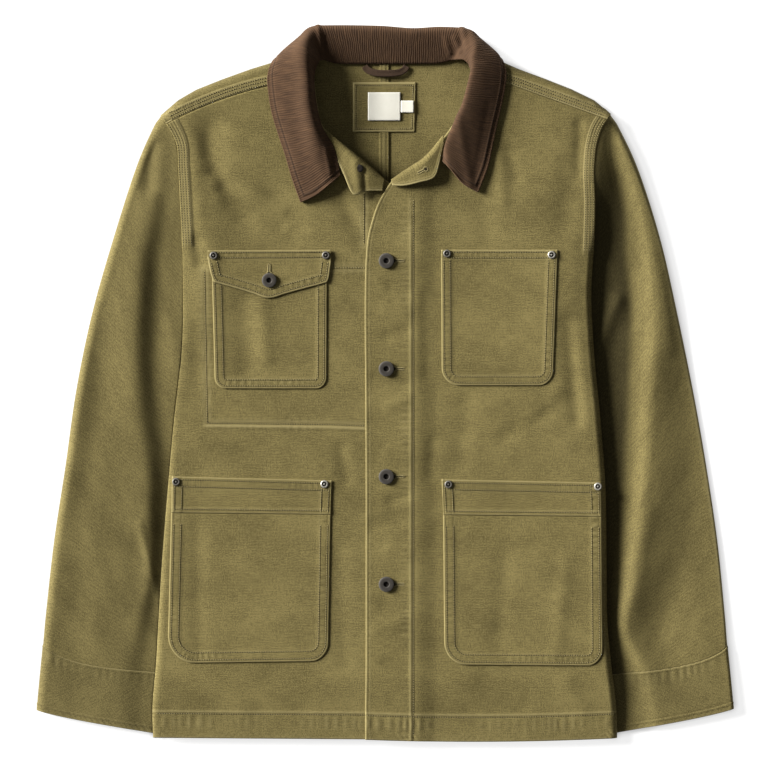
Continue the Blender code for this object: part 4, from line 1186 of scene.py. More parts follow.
def shoulder_relief(distance, along_seam, seed):
    """The felled shoulder seam, by the distance from the seam line."""
    inside = ease((SHOULDER_BAND + 0.8 - distance) / 1.2)
    # painted shade: the roll of the back beyond the band is drawn darker
    beyond = ease((distance - SHOULDER_BAND - 1) / 6)
    return seam_relief(
        distance,
        [(-0.24, row, 0.7) for row in SHOULDER_ROWS],
        [(1.1, 0.9, 0.8), (0.3, SHOULDER_BAND - 0.4, 0.8)],
        [(0.1, row, 0.7) for row in SHOULDER_ROWS],
        [(puckers(along_seam, seed, 6.4), inside, (0.16, 0.2, 0))],
        (0.55 * inside - 0.4 * rim_of(distance, 0.8), 0.2 * inside, 0.3 * beyond),
    )


for side, sign in SIDES.items():
    tops = BACK_TOP[side]
    widths = np.abs(column(tops, "x") - tops[0].x)
    neck, shoulder, armhole = widths[4], widths[6], widths[-1]
    runs = [(0, 12, 0.9), (12, neck, 3.2), (neck, shoulder, 1.2), (shoulder, armhole - 6, 3.0)]
    p = np.interp(graded(*runs, (armhole - 6, armhole, 0.9)), widths, column(tops, "p"))
    v = np.append(graded((0, 0.75, 0.025), (0.75, 0.9, 0.0125), (0.9, 0.985, 0.007)), 1.0)
    q = np.append(graded((0.05, 0.65, 0.05), (0.65, 0.97, 0.02)), 1.0)
    grid = back_panel(side, v, p, q)
    x, y = grid[..., 0], grid[..., 1]
    seam_x, _ = shoulder_seam(side, np.clip(p - 2, 0, 1))
    level, wrap = slice(None, len(v)), slice(len(v), None)  # rows on the floor, rows of the fold
    to_seam = np.linalg.norm(grid[wrap] - grid[-1:], axis=2)
    relief = np.zeros(grid.shape)
    relief[wrap] = shoulder_relief(to_seam, seam_x[None, :], 2.7 + sign) * (p >= 2)[None, :, None]
    if side == "right":
        inside = ease((x + 4.9) / 0.9) * (y > 150)
        grooves = sum(bell(x, row, 0.7) for row in CENTRE_ROWS)
        ripple = puckers(y, 1.1, 6.2)
        relief[..., 0] += (1.3 - 0.3 * grooves + 0.1 * ripple) * inside
        relief[..., 1] += (0.28 * bell(x, 0, 1.2) + 0.15 * peaks(ripple)) * inside
        # painted shade in the stitched grooves of the centre back seam
        relief[..., 2] += 0.45 * grooves * inside
    relief[level, :, 0] += 0.35 * bell(x[level], 30, 9) * ease((y[level] - 180) / 60)
    upward = (np.arange(len(grid))[:, None] < len(v)) | (p < 2)
    out = np.where(upward[..., None], (0.0, 0.0, 1.0), normals_of(grid) * -sign)
    grid = grid + out * relief[..., :1]
    cloth_piece(f"back_{side}_canvas", grid, relief, stack(x, y) * MM, turned=sign)

# %% [markdown]
# ## The sleeves
# A sleeve is one flattened tube.  Its lower layer lies on the floor.  Its upper layer
# runs from the outer fold over a crest, down into the long fold beside the body and up
# to the armhole or the side of the body.  A table gives where the crest and the foot of
# that fold lie and how high they are, from the cuff up, and an ease joins them.

# %% Sleeve tables
SLEEVE = table("outer_x outer_y inner_y sag", {
    "right": [
        (-242.4, 289, 147.3, 0),
        (-264.5, 237.6, 128, 0),
        (-289.6, 159, 92, 0),
        (-312.8, 77.4, 40, 0),
        (-330, -5, -30, 0),
        (-342, -88, -105, 0),
        (-354.2, -168, -182, 0),
        (-363, -245, -262, 4),
        (-366.3, -280.6, -311, 10),
        (-373, -350.5, -375.7, 2),
    ],
    "left": [
        (246, 290.6, 140.8, 0),
        (272.5, 233.3, 122, 0),
        (297, 156, 88, 0),
        (314.5, 80, 40, 0),
        (332, -5, -28, 0),
        (346, -84, -102, 0),
        (358.5, -168, -182, 0),
        (366.5, -247, -262, 4),
        (369.3, -282, -314, 10),
        (375.8, -349.4, -376, 2),
    ],
})
CUFF_SEAM = 8  # the row of SLEEVE where the cuff starts

SLEEVE_FORM = table("y body_z foot_x foot_z crest_x crest_z dip_x dip_z rim_z", {
    "right": [
        (-390, 7.5, 252, 8.5, 285, 11.2, 330, 11.2, 12.0),
        (-311, 8.6, 250, 9.0, 285, 12.0, 325, 12.2, 13.0),
        (-262, 9.0, 246, 9.6, 270, 13.4, 325, 14.0, 15.0),
        (-211, 8.6, 241, 8.8, 254, 14.6, 320, 15.4, 16.6),
        (-146, 7.8, 235, 8.0, 255, 15.8, 322, 15.6, 17.4),
        (-82, 10.8, 231, 11.0, 259, 18.2, 312, 16.6, 19.2),
        (-17, 14.2, 240, 13.8, 268, 21.1, 305, 18.0, 21.2),
        (37, 15.0, 242, 14.2, 270, 21.9, 304, 18.4, 21.6),
        (90, 15.2, 241, 14.4, 268, 21.8, 303, 18.6, 21.4),
        (144, 14.8, 237, 15.2, 263, 20.6, 292, 19.0, 20.8),
        (182, 15.4, 231, 15.4, 255, 19.4, 278, 18.4, 19.2),
        (219, 15.9, 230, 15.6, 248, 17.6, 264, 17.2, 17.6),
        (262, 16.0, 232, 15.6, 244, 16.2, 252, 16.2, 16.2),
        (300, 16.0, 233, 15.6, 240, 15.7, 243, 15.6, 15.6),
    ],
    "left": [
        (-390, 3.4, 262, 3.2, 296, 7.6, 330, 8.2, 8.6),
        (-318, 3.2, 256, 3.2, 284, 8.8, 318, 7.6, 8.0),
        (-264, 2.8, 246, 3.4, 257, 11.6, 300, 5.0, 6.0),
        (-211, 2.6, 247, 3.4, 264, 11.8, 322, 4.4, 4.8),
        (-146, 2.6, 253, 3.4, 273, 11.6, 342, 3.6, 3.8),
        (-82, 2.7, 256, 3.4, 281, 11.0, 344, 3.2, 3.4),
        (-17, 2.9, 260, 3.4, 285, 10.8, 338, 3.2, 3.4),
        (37, 3.1, 262, 3.4, 290, 10.8, 334, 3.8, 4.2),
        (90, 3.4, 262, 3.4, 290, 10.8, 324, 6.0, 6.6),
        (144, 4.4, 257, 3.2, 284, 10.6, 308, 7.0, 7.2),
        (182, 9.5, 257, 3.6, 278, 10.2, 298, 8.2, 8.4),
        (219, 16.2, 250, 4.6, 268, 11.2, 284, 9.6, 9.6),
        (252, 16.4, 244, 9.6, 256, 13.4, 267, 12.2, 11.8),
        (300, 16.0, 245, 14.6, 252, 15.0, 258, 14.6, 14.0),
    ],
})


def sleeve_form(side, names, y):
    return along(SLEEVE_FORM[side], names, y, knots="y")


def sleeve_top(side, x, y):
    """Upper layer of a sleeve, from the body outward: a shelf to the foot of the long
    fold, up to its crest, down to a dip and level to the rim.  The wearer's right sleeve
    climbs like a smooth step, and the left one ever steeper, up to a crisp crest."""
    across = np.abs(x)
    edge = np.abs(body_edge(side, y))
    foot, foot_z, crest, crest_z = sleeve_form(side, "foot_x foot_z crest_x crest_z", y)
    body_z, dip, dip_z, rim_z = sleeve_form(side, "body_z dip_x dip_z rim_z", y)
    shelf = np.clip((foot - across) / np.maximum(foot - edge, 3), 0, 1)
    drop = 1.0 if side == "right" else mix(1.8, 0.8, ease((y - 160) / 60))
    near = mix(foot_z, body_z, shelf**drop)
    climb = np.clip((across - foot) / np.maximum(crest - foot, 3), 0, 1)
    step = climb**3 * (10 - 15 * climb + 6 * climb**2)
    far = mix(foot_z, crest_z, step if side == "right" else climb**2.2)
    beyond = mix(crest_z, dip_z, ease((across - crest) / np.maximum(dip - crest, 3)))
    beyond = mix(beyond, rim_z, ease((across - dip) / 26))
    return np.where(across < foot, near, np.where(across < crest, far, beyond))


def sleeve_layer(side, v, t, upper, floor=FLOOR):
    """One layer of the sleeve: t runs from the outer fold to the inner fold."""
    rows, sign = SLEEVE[side], SIDES[side]
    t, v = np.meshgrid(t, v)
    outer_x, outer_y, inner_y, sag = along(rows, "outer_x outer_y inner_y sag", v)
    body_z = sleeve_form(side, "body_z", inner_y)
    tuck = mix(2.6, 0.9, ease((body_z - 3.2) / 3.5)) * ease(v / 1.2)
    inner_x = body_edge(side, inner_y) - sign * (tuck - 0.3)
    x = mix(outer_x, inner_x, t)
    y = mix(outer_y, inner_y, t)
    width = np.hypot(outer_x - inner_x, outer_y - inner_y)
    armhole_y = mix(rows[0].outer_y, UNDERARM[side], t)
    straight = mix(rows[0].outer_x, body_edge(side, UNDERARM[side]), t)
    hollow = body_edge(side, armhole_y) - straight
    fade = np.clip(1 - v / 2.2, 0, 1) ** 2
    x = x + fade * (hollow + sign * 0.25)
    x = x - sign * 2.2 * bell(t, 0.0, 0.14) * ease(1 - v / 0.22)
    y = y - sag * np.sin(math.pi * t**0.6)

    near_armhole = np.clip(1 - v / 2, 0, 1)
    outer, inner = t * width, (1 - t) * width
    top = (sleeve_top(side, x - 5, y) + 2 * sleeve_top(side, x, y) + sleeve_top(side, x + 5, y)) / 4
    top = top + folds(f"sleeve_{side}", x, y) * ease(outer / 12)
    level, rim = (mix(height, floor, 0.5) for height in sleeve_form(side, "body_z rim_z", y))
    middle = mix(rim, level, ease((t - 0.3) / 0.7))
    if upper:
        out_fold = mix(1.8 if side == "left" else 8.0, FOLD_TOP, near_armhole)
        closing = mix(round_off(inner, 1.4), 1.0, np.clip(1 - v / 0.5, 0, 1))
        return stack(x, y, mix(middle, top, round_off(outer, out_fold) * closing))
    full = round_off(outer, RIDGE_UNDER) * round_off(inner, mix(8.0, 43.0, near_armhole))
    return stack(x, y, mix(middle, floor, full))


over = np.r_[0, 0.0015, 0.005, 0.011, 0.02, 0.032, 0.047, np.linspace(0.066, 0.95, 58)]
over = np.r_[over, 0.965, 0.978, 0.988, 0.995, 0.999]
below = np.r_[1, 0.995, 0.982, 0.96, np.linspace(0.92, 0.12, 14), 0.08, 0.045, 0.02, 0.006]


def sleeve_rings(side, v, floor=FLOOR):
    """Closed rings: over the top from the outer to the inner fold, and back below."""
    upper = sleeve_layer(side, v, over, True, floor)
    lower = sleeve_layer(side, v, below, False, floor)
    return np.concatenate([upper, lower], axis=1)


print("points round a sleeve:", len(over) + len(below))

# %% Sleeves and cuffs
CUFF_DEPTH = 70.0
CUFF_ROW = 3.2  # stitch row below the cuff seam
CUFF_HEM_ROW = 6.5


def cuff_relief(from_seam, from_hem, around, seed):
    """Cuff: a rubbed ridge at its seam, long puckers, and a roped hem."""
    ripple = puckers(around, seed, 9.5)
    roping = puckers(around + 0.8 * from_hem, seed + 1.5, 6.6)
    upper = seam_relief(
        from_seam,
        [(0.5, 1.0, 1.2), (-0.3, CUFF_ROW, 0.9)],
        [(0.9, 0.6, 1.3)],
        [(0.15, CUFF_ROW, 0.8)],
        [(ripple, bell(from_seam, 9.0, 9.0), (0.3, 0.3, 0.22))],
    )
    lower = seam_relief(
        from_hem,
        [(-0.36, CUFF_HEM_ROW, 0.9), (0.2, 9.0, 1.4)],
        [(0.4, 0.6, 0.9)],
        [(0.2, CUFF_HEM_ROW, 0.8)],
        [(roping, bell(from_hem, 4.5, 4.5), (0.26, 0.3, 0))],
        (0, 0, 0.1),
    )
    return upper + lower


def cuff_parts(side):
    """Grid, relief and outward normals of a cuff."""
    v = CUFF_SEAM + graded((-0.022, 0.1, 0.012), (0.1, 0.8, 0.026), (0.8, 1.0, 0.012))
    rings = sleeve_rings(side, v, DOUBLE_CLOTH / 2)
    around = np.linalg.norm(np.diff(rings, axis=1, append=rings[:, :1]), axis=2)
    around = np.cumsum(around, axis=1) - around
    from_seam = (v[:, None] - v[0]) * CUFF_DEPTH
    from_hem = (v[-1] - v[:, None]) * CUFF_DEPTH
    relief = cuff_relief(from_seam, from_hem, around, 2.0 + SIDES[side])
    out = normals_of(rings, True) * -SIDES[side]
    return rings, relief, out


for side, sign in SIDES.items():
    rings = sleeve_rings(side, graded((0, 0.6, 0.03), (0.6, CUFF_SEAM, 0.04)))
    relief = np.zeros(rings.shape)
    if side == "left":  # painted shade in the long fold beside the body, and painted light on the shaded outer fold
        across, y = np.abs(rings[..., 0]), rings[..., 1]
        from_fold = np.linalg.norm(rings[..., :2] - rings[:, :1, :2], axis=2)
        # painted light: the outer fold, in shade on this sleeve, drawn paler
        relief[..., 1] = 0.8 * bell(from_fold, 0, 2.6)
        # painted shade: the long fold beside the body, in the body's shadow, drawn darker
        relief[..., 2] = 0.75 * ease((sleeve_form(side, "foot_x", y) + 9 - across) / 12)
        relief[..., 2] *= ease((262 - y) / 80)
    tube = {"finish": sleeve_canvas[side], "ring": True, "turned": -sign}
    cloth_piece(f"sleeve_{side}_canvas", rings, relief, **tube)
    rings, relief, out = cuff_parts(side)
    cloth_piece(f"cuff_{side}_canvas", rings + out * relief[..., :1], relief, thickness=DOUBLE_CLOTH, **tube)

# %% [markdown]
# ## Patch pockets
# A patch pocket is one shape sewn down the sides and round the bottom by two rows, with
# a turned hem across its mouth.  It lies on its front panel, so it takes the panel's
# height and is raised by the seams.  The distance from every point to the pocket's
# outline drives the relief, so the band and its puckers follow the rounded corners.

# %% Pocket tables
# Corners from the upper left to the lower right, and the radii of the lower two.
PATCH_FIELDS = "side ul_x ul_y ur_x ur_y ll_x ll_y lr_x lr_y radius_l radius_r"
Patch = namedtuple("Patch", PATCH_FIELDS, defaults=(0, 0))
PATCHES = {
    "chest_pocket_right": Patch("right", -184.9, 134, -61, 134, -181.4, -5, -61.7, -5, 12, 12),
    "chest_pocket_left": Patch("left", 61.5, 144, 186.4, 144, 62.1, -1.6, 181.2, -1.6, 19, 16),
    "lower_pocket_right": Patch("right", -228.4, -138.6, -57.2, -140.4, -232.4, -299.5, -60, -297.8, 30, 20),
    "lower_pocket_left": Patch("left", 63.6, -140.8, 233.8, -142.6, 65, -301.5, 234.8, -302.5, 24, 18),
}
BANDS = {
    "lower_pocket_band_right": Patch("right", -227.6, -99.2, -55.9, -103.6, -228.4, -138.2, -57.2, -140),
    "lower_pocket_band_left": Patch("left", 61.9, -102.4, 233.0, -105.9, 63.6, -140.4, 233.8, -142.2),
}
INSIDE_POCKET = Patch("right", -192.7, 124.5, -24, 124.5, -190, -43, -24, -45, 4, 4)
POCKET_ROWS = {"chest": (2.9, 9.4), "lower": (3.1, 10.8)}
MOUTH_ROWS = {"chest": (2.6, 8.6), "lower": (3.2, 10.6)}
BAND_FOOT_ROW = 3.9


def patch_plan(patch, u, v):
    """Plan of a pocket: v climbs from the bottom, whose corners are rounded."""
    u, v = np.meshgrid(u, v)
    left_x = mix(patch.ll_x, patch.ul_x, v)
    right_x = mix(patch.lr_x, patch.ur_x, v)
    bottom_y = mix(patch.ll_y, patch.lr_y, u)
    y = mix(bottom_y, mix(patch.ul_y, patch.ur_y, u), v)
    rise = y - bottom_y
    if patch.radius_l:
        left_x = left_x + patch.radius_l * (1 - round_off(rise, patch.radius_l))
        right_x = right_x - patch.radius_r * (1 - round_off(rise, patch.radius_r))
    return mix(left_x, right_x, u), y


def patch_outline(patch):
    """The sewn edge: down the left side, along the bottom and up the right side."""
    down, none = np.linspace(1, 0, 60) ** 2, np.zeros(1)
    left = stack(*patch_plan(patch, none, down))[:, 0]
    bottom = stack(*patch_plan(patch, np.linspace(0, 1, 24), none))[0]
    right = stack(*patch_plan(patch, none + 1, down[::-1]))[:, 0]
    return np.concatenate([left, bottom[1:-1], right])


def moved_line(line, distance):
    """A line in plan moved to its left by a distance, along its own normals."""
    run = unit(np.gradient(line, axis=0))
    return line + stack(-run[:, 1], run[:, 0]) * distance


def patch_grid(patch, coarse=1.9, edge=12.0, fine=0.85):
    """Plan of a pocket with close rows and columns along all four edges."""
    width, height = abs(patch.ur_x - patch.ul_x), abs(patch.ul_y - patch.ll_y)
    u, v = (
        graded((0, edge, fine), (edge, size - edge, coarse), (size - edge, size, fine)) / size
        for size in (width, height)
    )
    return patch_plan(patch, u, v)


def under_mouth(patch, x, y):
    """Share of the pocket's width, and distance below its top edge."""
    share = (x - patch.ul_x) / (patch.ur_x - patch.ul_x)
    return share, mix(patch.ul_y, patch.ur_y, share) - y


def pocket_relief(patch, x, y, kind, seed):
    """Bands along the sewn sides and across the mouth."""
    distance, place = distance_along(x, y, patch_outline(patch))
    sides = folded_band(distance, place, seed, POCKET_ROWS[kind], 0.26, 0.45)
    if kind == "lower":
        return sides
    _, below = under_mouth(patch, x, y)
    mouth = folded_band(below, x, seed + 3, MOUTH_ROWS[kind], 0.12, 0.5)
    mouth[..., 0] += 0.15 * bell(below, 10.9, 1.0)
    return sides + mouth


def sewn_patch(name, side, x, y, relief=None, lift=POCKET_LIFT, thickness=POCKET_CLOTH):
    """A piece that lies on a front; each one starts at a place of its own on the cloth."""
    relief = np.zeros(x.shape + (3,)) if relief is None else relief
    z = front_height(side, x, y) + lift + relief[..., 0]
    uv = stack(x, y) * MM + 0.21 * lift
    cloth_piece(f"{name}_canvas", stack(x, y, z), relief, uv, thickness=thickness)


for number, (name, patch) in enumerate(PATCHES.items()):
    x, y = patch_grid(patch)
    relief = pocket_relief(patch, x, y, name.split("_")[0], 0.7 + 1.7 * number)
    sewn_patch(name, patch.side, x, y, relief)

# %% Bands of the lower pockets, and the pocket bag inside
def band_relief(patch, x, y, seed):
    """A band across a pocket's mouth: rows above and below, and down both ends."""
    share, below = under_mouth(patch, x, y)
    above = y - mix(patch.ll_y, patch.lr_y, share)
    from_end = np.minimum(share, 1 - share) * abs(patch.ur_x - patch.ul_x)
    mouth = folded_band(below, x, seed, MOUTH_ROWS["lower"], 0.14, 0.35)
    foot = folded_band(above, x, seed + 1, (BAND_FOOT_ROW,), 0.2, 0.4)
    ends = folded_band(from_end, y + 60 * (share > 0.5), seed + 2, POCKET_ROWS["lower"], 0.26, 0.3)
    return mouth + foot + ends


for number, (name, patch) in enumerate(BANDS.items()):
    x, y = patch_grid(patch, 2.0)
    sewn_patch(name, patch.side, x, y, band_relief(patch, x, y, 2.2 + number), BAND_LIFT)

x, y = patch_plan(INSIDE_POCKET, np.linspace(0, 1, 30), np.linspace(0, 1, 30))
sewn_patch("inside_pocket", "right", x, y, None, -STACK, TAPE)

# %% The flap
FLAP = table("x top_y bottom_y", [
    (-189.0, 143.2, 136.0),
    (-186.5, 143.2, 122.0),
    (-182.8, 143.3, 110.6),
    (-178.5, 143.3, 108.4),
    (-160.0, 143.4, 103.2),
    (-141.0, 143.5, 97.4),
    (-123.6, 143.6, 92.2),
    (-105.0, 143.7, 97.2),
    (-84.0, 143.8, 103.0),
    (-66.0, 143.9, 107.8),
    (-60.6, 143.9, 110.6),
    (-58.4, 144.0, 122.0),
    (-56.7, 144.0, 136.0),
])
FLAP_ROWS = (2.8, 9.0)
FLAP_TOP_ROWS = (2.3, 7.8)

flap_edge = stack(*along(FLAP, "x bottom_y", np.linspace(0, len(FLAP) - 1, 200)))
flap_columns = graded((FLAP[0].x, -176, 0.85), (-176, -69, 1.7), (-69, FLAP[-1].x, 0.85))
flap_places = np.interp(flap_columns, column(FLAP, "x"), np.arange(len(FLAP)))
x, top, foot = along(FLAP, "x top_y bottom_y", flap_places)
climb = graded((0, 0.26, 0.018), (0.26, 0.76, 0.036), (0.76, 1, 0.018))[:, None]
x, y = x + 0 * climb, mix(foot, top, climb)
distance, place = distance_along(x, y, flap_edge)
relief = folded_band(distance, place, 1.9, FLAP_ROWS, 0.3, 0.4)
relief = relief + folded_band(top - y, x, 3.4, FLAP_TOP_ROWS, 0.12, 0.2)
relief[..., 1] += 0.4 * bell(distance, 0.5, 0.9)
relief[..., 0] += 0.35 * ease(1 - climb)  # the free edge stands off the pocket a little
sewn_patch("chest_pocket_flap", "right", x, y, relief, FLAP_LIFT)

# %% [markdown]
# ## The collar
# The collar is a strip of corduroy that starts at the neck seam, stands up, rolls over
# and falls to its outer edge.  Stations round the neck give four guide points each, and
# a cubic through them makes the strip's section.  A second layer of canvas, moved in
# along the normals, is the under collar.

# %% Collar tables
COLLAR = table("neck_x neck_y neck_z roll_x roll_y roll_z side_x side_y side_z edge_x edge_y edge_z", [
    (-46.8, 224.5, 22.6, -58, 214.5, 25.5, -74, 202, 22.5, -89.4, 195, 19.6),
    (-49.5, 240, 22, -66, 236, 28, -84, 226, 24, -98.4, 220, 19.6),
    (-55.5, 257, 21, -72, 254, 30, -92, 247, 25, -106, 246, 19.6),
    (-66.5, 276, 19.8, -77.4, 276, 31, -98, 272, 25.5, -114, 270, 19.6),
    (-72.5, 300, 19.3, -82.3, 300, 32, -103, 297, 26, -121, 294, 19.6),
    (-75, 322, 19.2, -84, 324, 31.5, -106, 322, 26, -124.7, 320, 19.6),
    (-74.5, 333, 19.3, -86, 340, 30.8, -109, 338, 24.5, -124.6, 331.5, 19.5),
    (-73.5, 338, 19.3, -87, 348.5, 30, -110.5, 347, 22, -121.5, 343, 16.8),
    (-72, 342, 19, -87.5, 355, 29, -110.5, 354, 18, -116, 350.5, 8),
    (-69, 347, 16, -87, 363, 26, -105, 361.5, 13, -104, 357.5, 1.4),
    (-64, 348.5, 8.5, -82, 372, 21, -92, 372.5, 10.5, -86, 362.5, 1.2),
    (-58, 347, 4.6, -74, 379, 16.5, -79, 382, 8.5, -67, 361, 1.2),
    (-46, 345, 3.8, -55, 380, 14, -56, 383.5, 8, -50, 358, 1.2),
    (-5, 345, 3.8, -5, 379, 14, -5, 383, 8, -5, 357, 1.2),
    (30, 345, 3.8, 30, 377, 14, 30.6, 380.5, 8, 30, 356, 1.2),
    (58, 345.5, 3.8, 60, 378.5, 14, 61, 382, 8, 58, 358, 1.2),
    (72, 348.5, 4.6, 86, 377, 16.5, 91, 380, 8.5, 80, 363, 1.2),
    (78, 349, 9.3, 95, 370.5, 21, 104, 371, 10.5, 97, 365, 1.2),
    (84.8, 348.4, 16.4, 99, 362, 26, 114, 362.5, 13, 113, 358, 1.4),
    (90, 344.5, 19, 98.5, 353, 29, 120, 355, 18, 124, 351.5, 8),
    (92, 340, 19.3, 98, 346, 30, 120, 347, 22.5, 128.6, 344.5, 17),
    (93.3, 334, 19.3, 97, 338, 30.8, 118, 336, 25, 131, 332.5, 19.5),
    (90, 320, 19.2, 92.5, 318, 31.5, 114, 317, 25.5, 129.6, 318, 19.6),
    (85, 303, 19.2, 88, 300, 31.5, 110, 298, 25.5, 125.6, 298, 19.6),
    (78.5, 287, 19.5, 82.5, 284, 31, 105, 277, 25, 120.5, 276, 19.6),
    (71.5, 272, 20.3, 75.5, 268, 30, 99, 258, 24.5, 116, 254, 19.6),
    (65.5, 256, 21.8, 69.5, 251, 28.5, 92, 238, 23.5, 111, 232, 19.6),
    (62.8, 239.5, 22.6, 71.5, 230, 26, 85, 214.5, 22.5, 101, 205.8, 19.6),
])
ACROSS_COLLAR = [0.0, 0.42, 0.72, 1.0]  # where the four guide lines lie across the strip
COLLAR_ROW = 5.6


def collar_surface(s, t):
    """Top collar: across the strip from the neck seam over the roll to the outer edge."""
    places = ("neck", "roll", "side", "edge")
    guides = np.array([along(COLLAR, f"{place}_x {place}_y {place}_z", s) for place in places])
    surface = np.empty((len(s), len(t), 3))
    for station, axis in np.ndindex(len(s), 3):
        surface[station, :, axis] = smooth_curve(ACROSS_COLLAR, guides[:, axis, station], t)
    return surface


def moved_in(grid, distance):
    """The same strip, moved along its normals; at a bend it moves by the mitre's length."""
    run = np.gradient(grid, axis=0)
    facets = unit(np.cross((run[:, :-1] + run[:, 1:]) / 2, np.diff(grid, axis=1)))
    before = np.concatenate([facets[:, :1], facets], axis=1)
    normal = unit(before + np.concatenate([facets, facets[:, -1:]], axis=1))
    mitre = np.clip((normal * before).sum(axis=2), 0.6, 1)[..., None]
    return grid + normal * distance / mitre


def collar_relief(grid):
    """Turned rim, stitch row and rubbed roll of the collar."""
    to_edge = walked_over(grid[:, ::-1], 1)[:, ::-1]
    from_start = walked_over(grid, 0)
    distance = np.minimum(np.minimum(to_edge, from_start), from_start[-1:] - from_start)
    rolled = bell(np.linspace(0, 1, grid.shape[1])[None, :], 0.42, 0.06)
    relief = seam_relief(
        distance,
        [(-0.36, COLLAR_ROW, 0.9), (0.3, 3.0, 2.0)],
        [(0.16, 1.0, 1.4), (0.22, COLLAR_ROW + 1.6, 0.8)],
        [(0.55, COLLAR_ROW, 0.8)],
        [(puckers(from_start, 2.9, 5.5), bell(distance, 2.6, 2.2), (0.12, 0, 0))],
        (-0.7 * rim_of(distance, 1.3), 0.16 * rolled, 0),
    )
    return relief, distance


stations = graded((0, 0.6, 0.035), (0.6, 26.4, 0.1), (26.4, 27, 0.035))
strip = np.append(graded((0, 0.86, 0.026), (0.86, 0.985, 0.0095)), 1.0)
collar_grid = collar_surface(stations, strip)
relief, collar_distance = collar_relief(collar_grid)
crease = folds("collar", collar_grid[..., 0], collar_grid[..., 1])
collar_out = normals_of(collar_grid)
collar_top = collar_grid + collar_out * (relief[..., :1] + crease[..., None])
round_neck = cloth_lengths(collar_grid.transpose(1, 0, 2)).transpose(1, 0, 2)
round_neck[..., 0] = round_neck[..., 0].mean(axis=1, keepdims=True)  # wales run straight across
cloth_piece("collar_corduroy", collar_top, relief, round_neck, corduroy, "brown_corduroy", "collar_top")

under_grid = collar_surface(np.linspace(0, len(COLLAR) - 1, 150), np.linspace(0, 1, 26))
cloth_piece("collar_under_canvas", moved_in(under_grid, -STACK - COLLAR_EASE))

# %% [markdown]
# ## The turned corners of the fronts
# The top corners of both fronts are folded outward, so the facing on their inside shows.
# Each is a small sheet between the roll line and the free edge, lifted off the panel.

# %% Turned corners
TURNED_CORNER = table("roll_x roll_y free_x free_y lift", {
    "right": [
        (-61, 271, -63, 262, 0.6),
        (-54, 265, -57, 250, 1.4),
        (-45, 257.5, -48.6, 238, 3.4),
        (-34.6, 249.4, -42.6, 224, 5.5),
        (-24.4, 241, -33, 203.5, 5.5),
        (-11.6, 230, -20, 207.0, 4),
        (0.5, 219, -1.5, 207.6, 0.8),
    ],
    "left": [
        (8, 218.5, 9, 213.5, 0.8),
        (18, 225.5, 22, 213, 2.5),
        (30, 233.5, 38, 216.4, 4.0),
        (41, 240.6, 53.5, 221.5, 6.0),
        (51, 250.3, 58.5, 235, 5.0),
        (58, 259, 61, 248, 3.0),
        (64, 266.5, 63.8, 260, 1.0),
    ],
})


def turned_corner(side):
    """The front's top corner rolls over its own edge and lies outward on the panel: u
    runs from the roll to the free edge, and v along the roll."""
    rows = TURNED_CORNER[side]
    u = np.append(graded((0, 0.3, 0.02), (0.3, 0.8, 0.04), (0.8, 0.97, 0.02)), 1.0)
    u, v = np.meshgrid(u, np.linspace(0, len(rows) - 1, 80))
    roll_x, roll_y, free_x, free_y, lift = along(rows, "roll_x roll_y free_x free_y lift", v)
    x, y = mix(roll_x, free_x, u), mix(roll_y, free_y, u)
    base = front_height(side, x, y) + CLOTH / 2 + GAP + DOUBLE_CLOTH / 2
    depth = np.hypot(x - x[:, :1], y - y[:, :1])
    return stack(x, y, base + lift * round_off(depth, ROLL))


def corner_points(side, x, y):
    """The points of a turned corner's grid that lie nearest to given places."""
    flat = turned_corner(side).reshape(-1, 3)
    away = (flat[:, :1] - np.ravel(x)) ** 2 + (flat[:, 1:2] - np.ravel(y)) ** 2
    return flat[np.argmin(away, axis=0)]


for side, sign in SIDES.items():
    grid = turned_corner(side)
    to_edge = np.linalg.norm(grid - grid[:, -1:], axis=2)
    relief = folded_band(to_edge, walk(grid[:, -1])[:, None], 0.9 + sign, (1.6,), 0.1, 0.5)
    relief[..., 0] += folds(f"facing_{side}", grid[..., 0], grid[..., 1])
    relief[..., 1] += 0.5 * bell(to_edge, 0.6, 1.3)
    grid = grid + normals_of(grid) * relief[..., :1]
    cloth_piece(f"facing_{side}_canvas", grid, relief, thickness=DOUBLE_CLOTH)

# %% [markdown]
# ## Inside the neck
# A patch of canvas is stitched to the inside of the back.  It carries a white woven
# label and a small white tab, both left bare, and a tape hanger loop hangs above it.

# %% Patch, labels and loop
LABEL_PATCH = (-33.4, 271.6, 34.4, 325)
PATCH_SLANT = 0.0235  # its side leans in towards the bottom
LABELS = {"label": (-17.3, 283.8, 17.8, 314.2), "size_tab": (18.1, 292.4, 32.2, 305.3)}
HANGER_LOOP = table("x y z", [
    (-20.6, 342.6, 2.6),
    (-18.4, 339, 3.2),
    (-13, 336, 4.4),
    (-4, 334.6, 5.2),
    (8, 334.6, 5.2),
    (17, 335.8, 4.4),
    (22, 338.8, 3.2),
    (24.4, 342.6, 2.6),
])
LOOP_WIDTH = 7.2
LOOP_THICK = 1.6


def flat_grid(corners, z, step):
    low_x, low_y, high_x, high_y = corners
    x, y = np.meshgrid(graded((low_x, high_x, step)), graded((low_y, high_y, step)))
    return x, y, np.full_like(x, z)


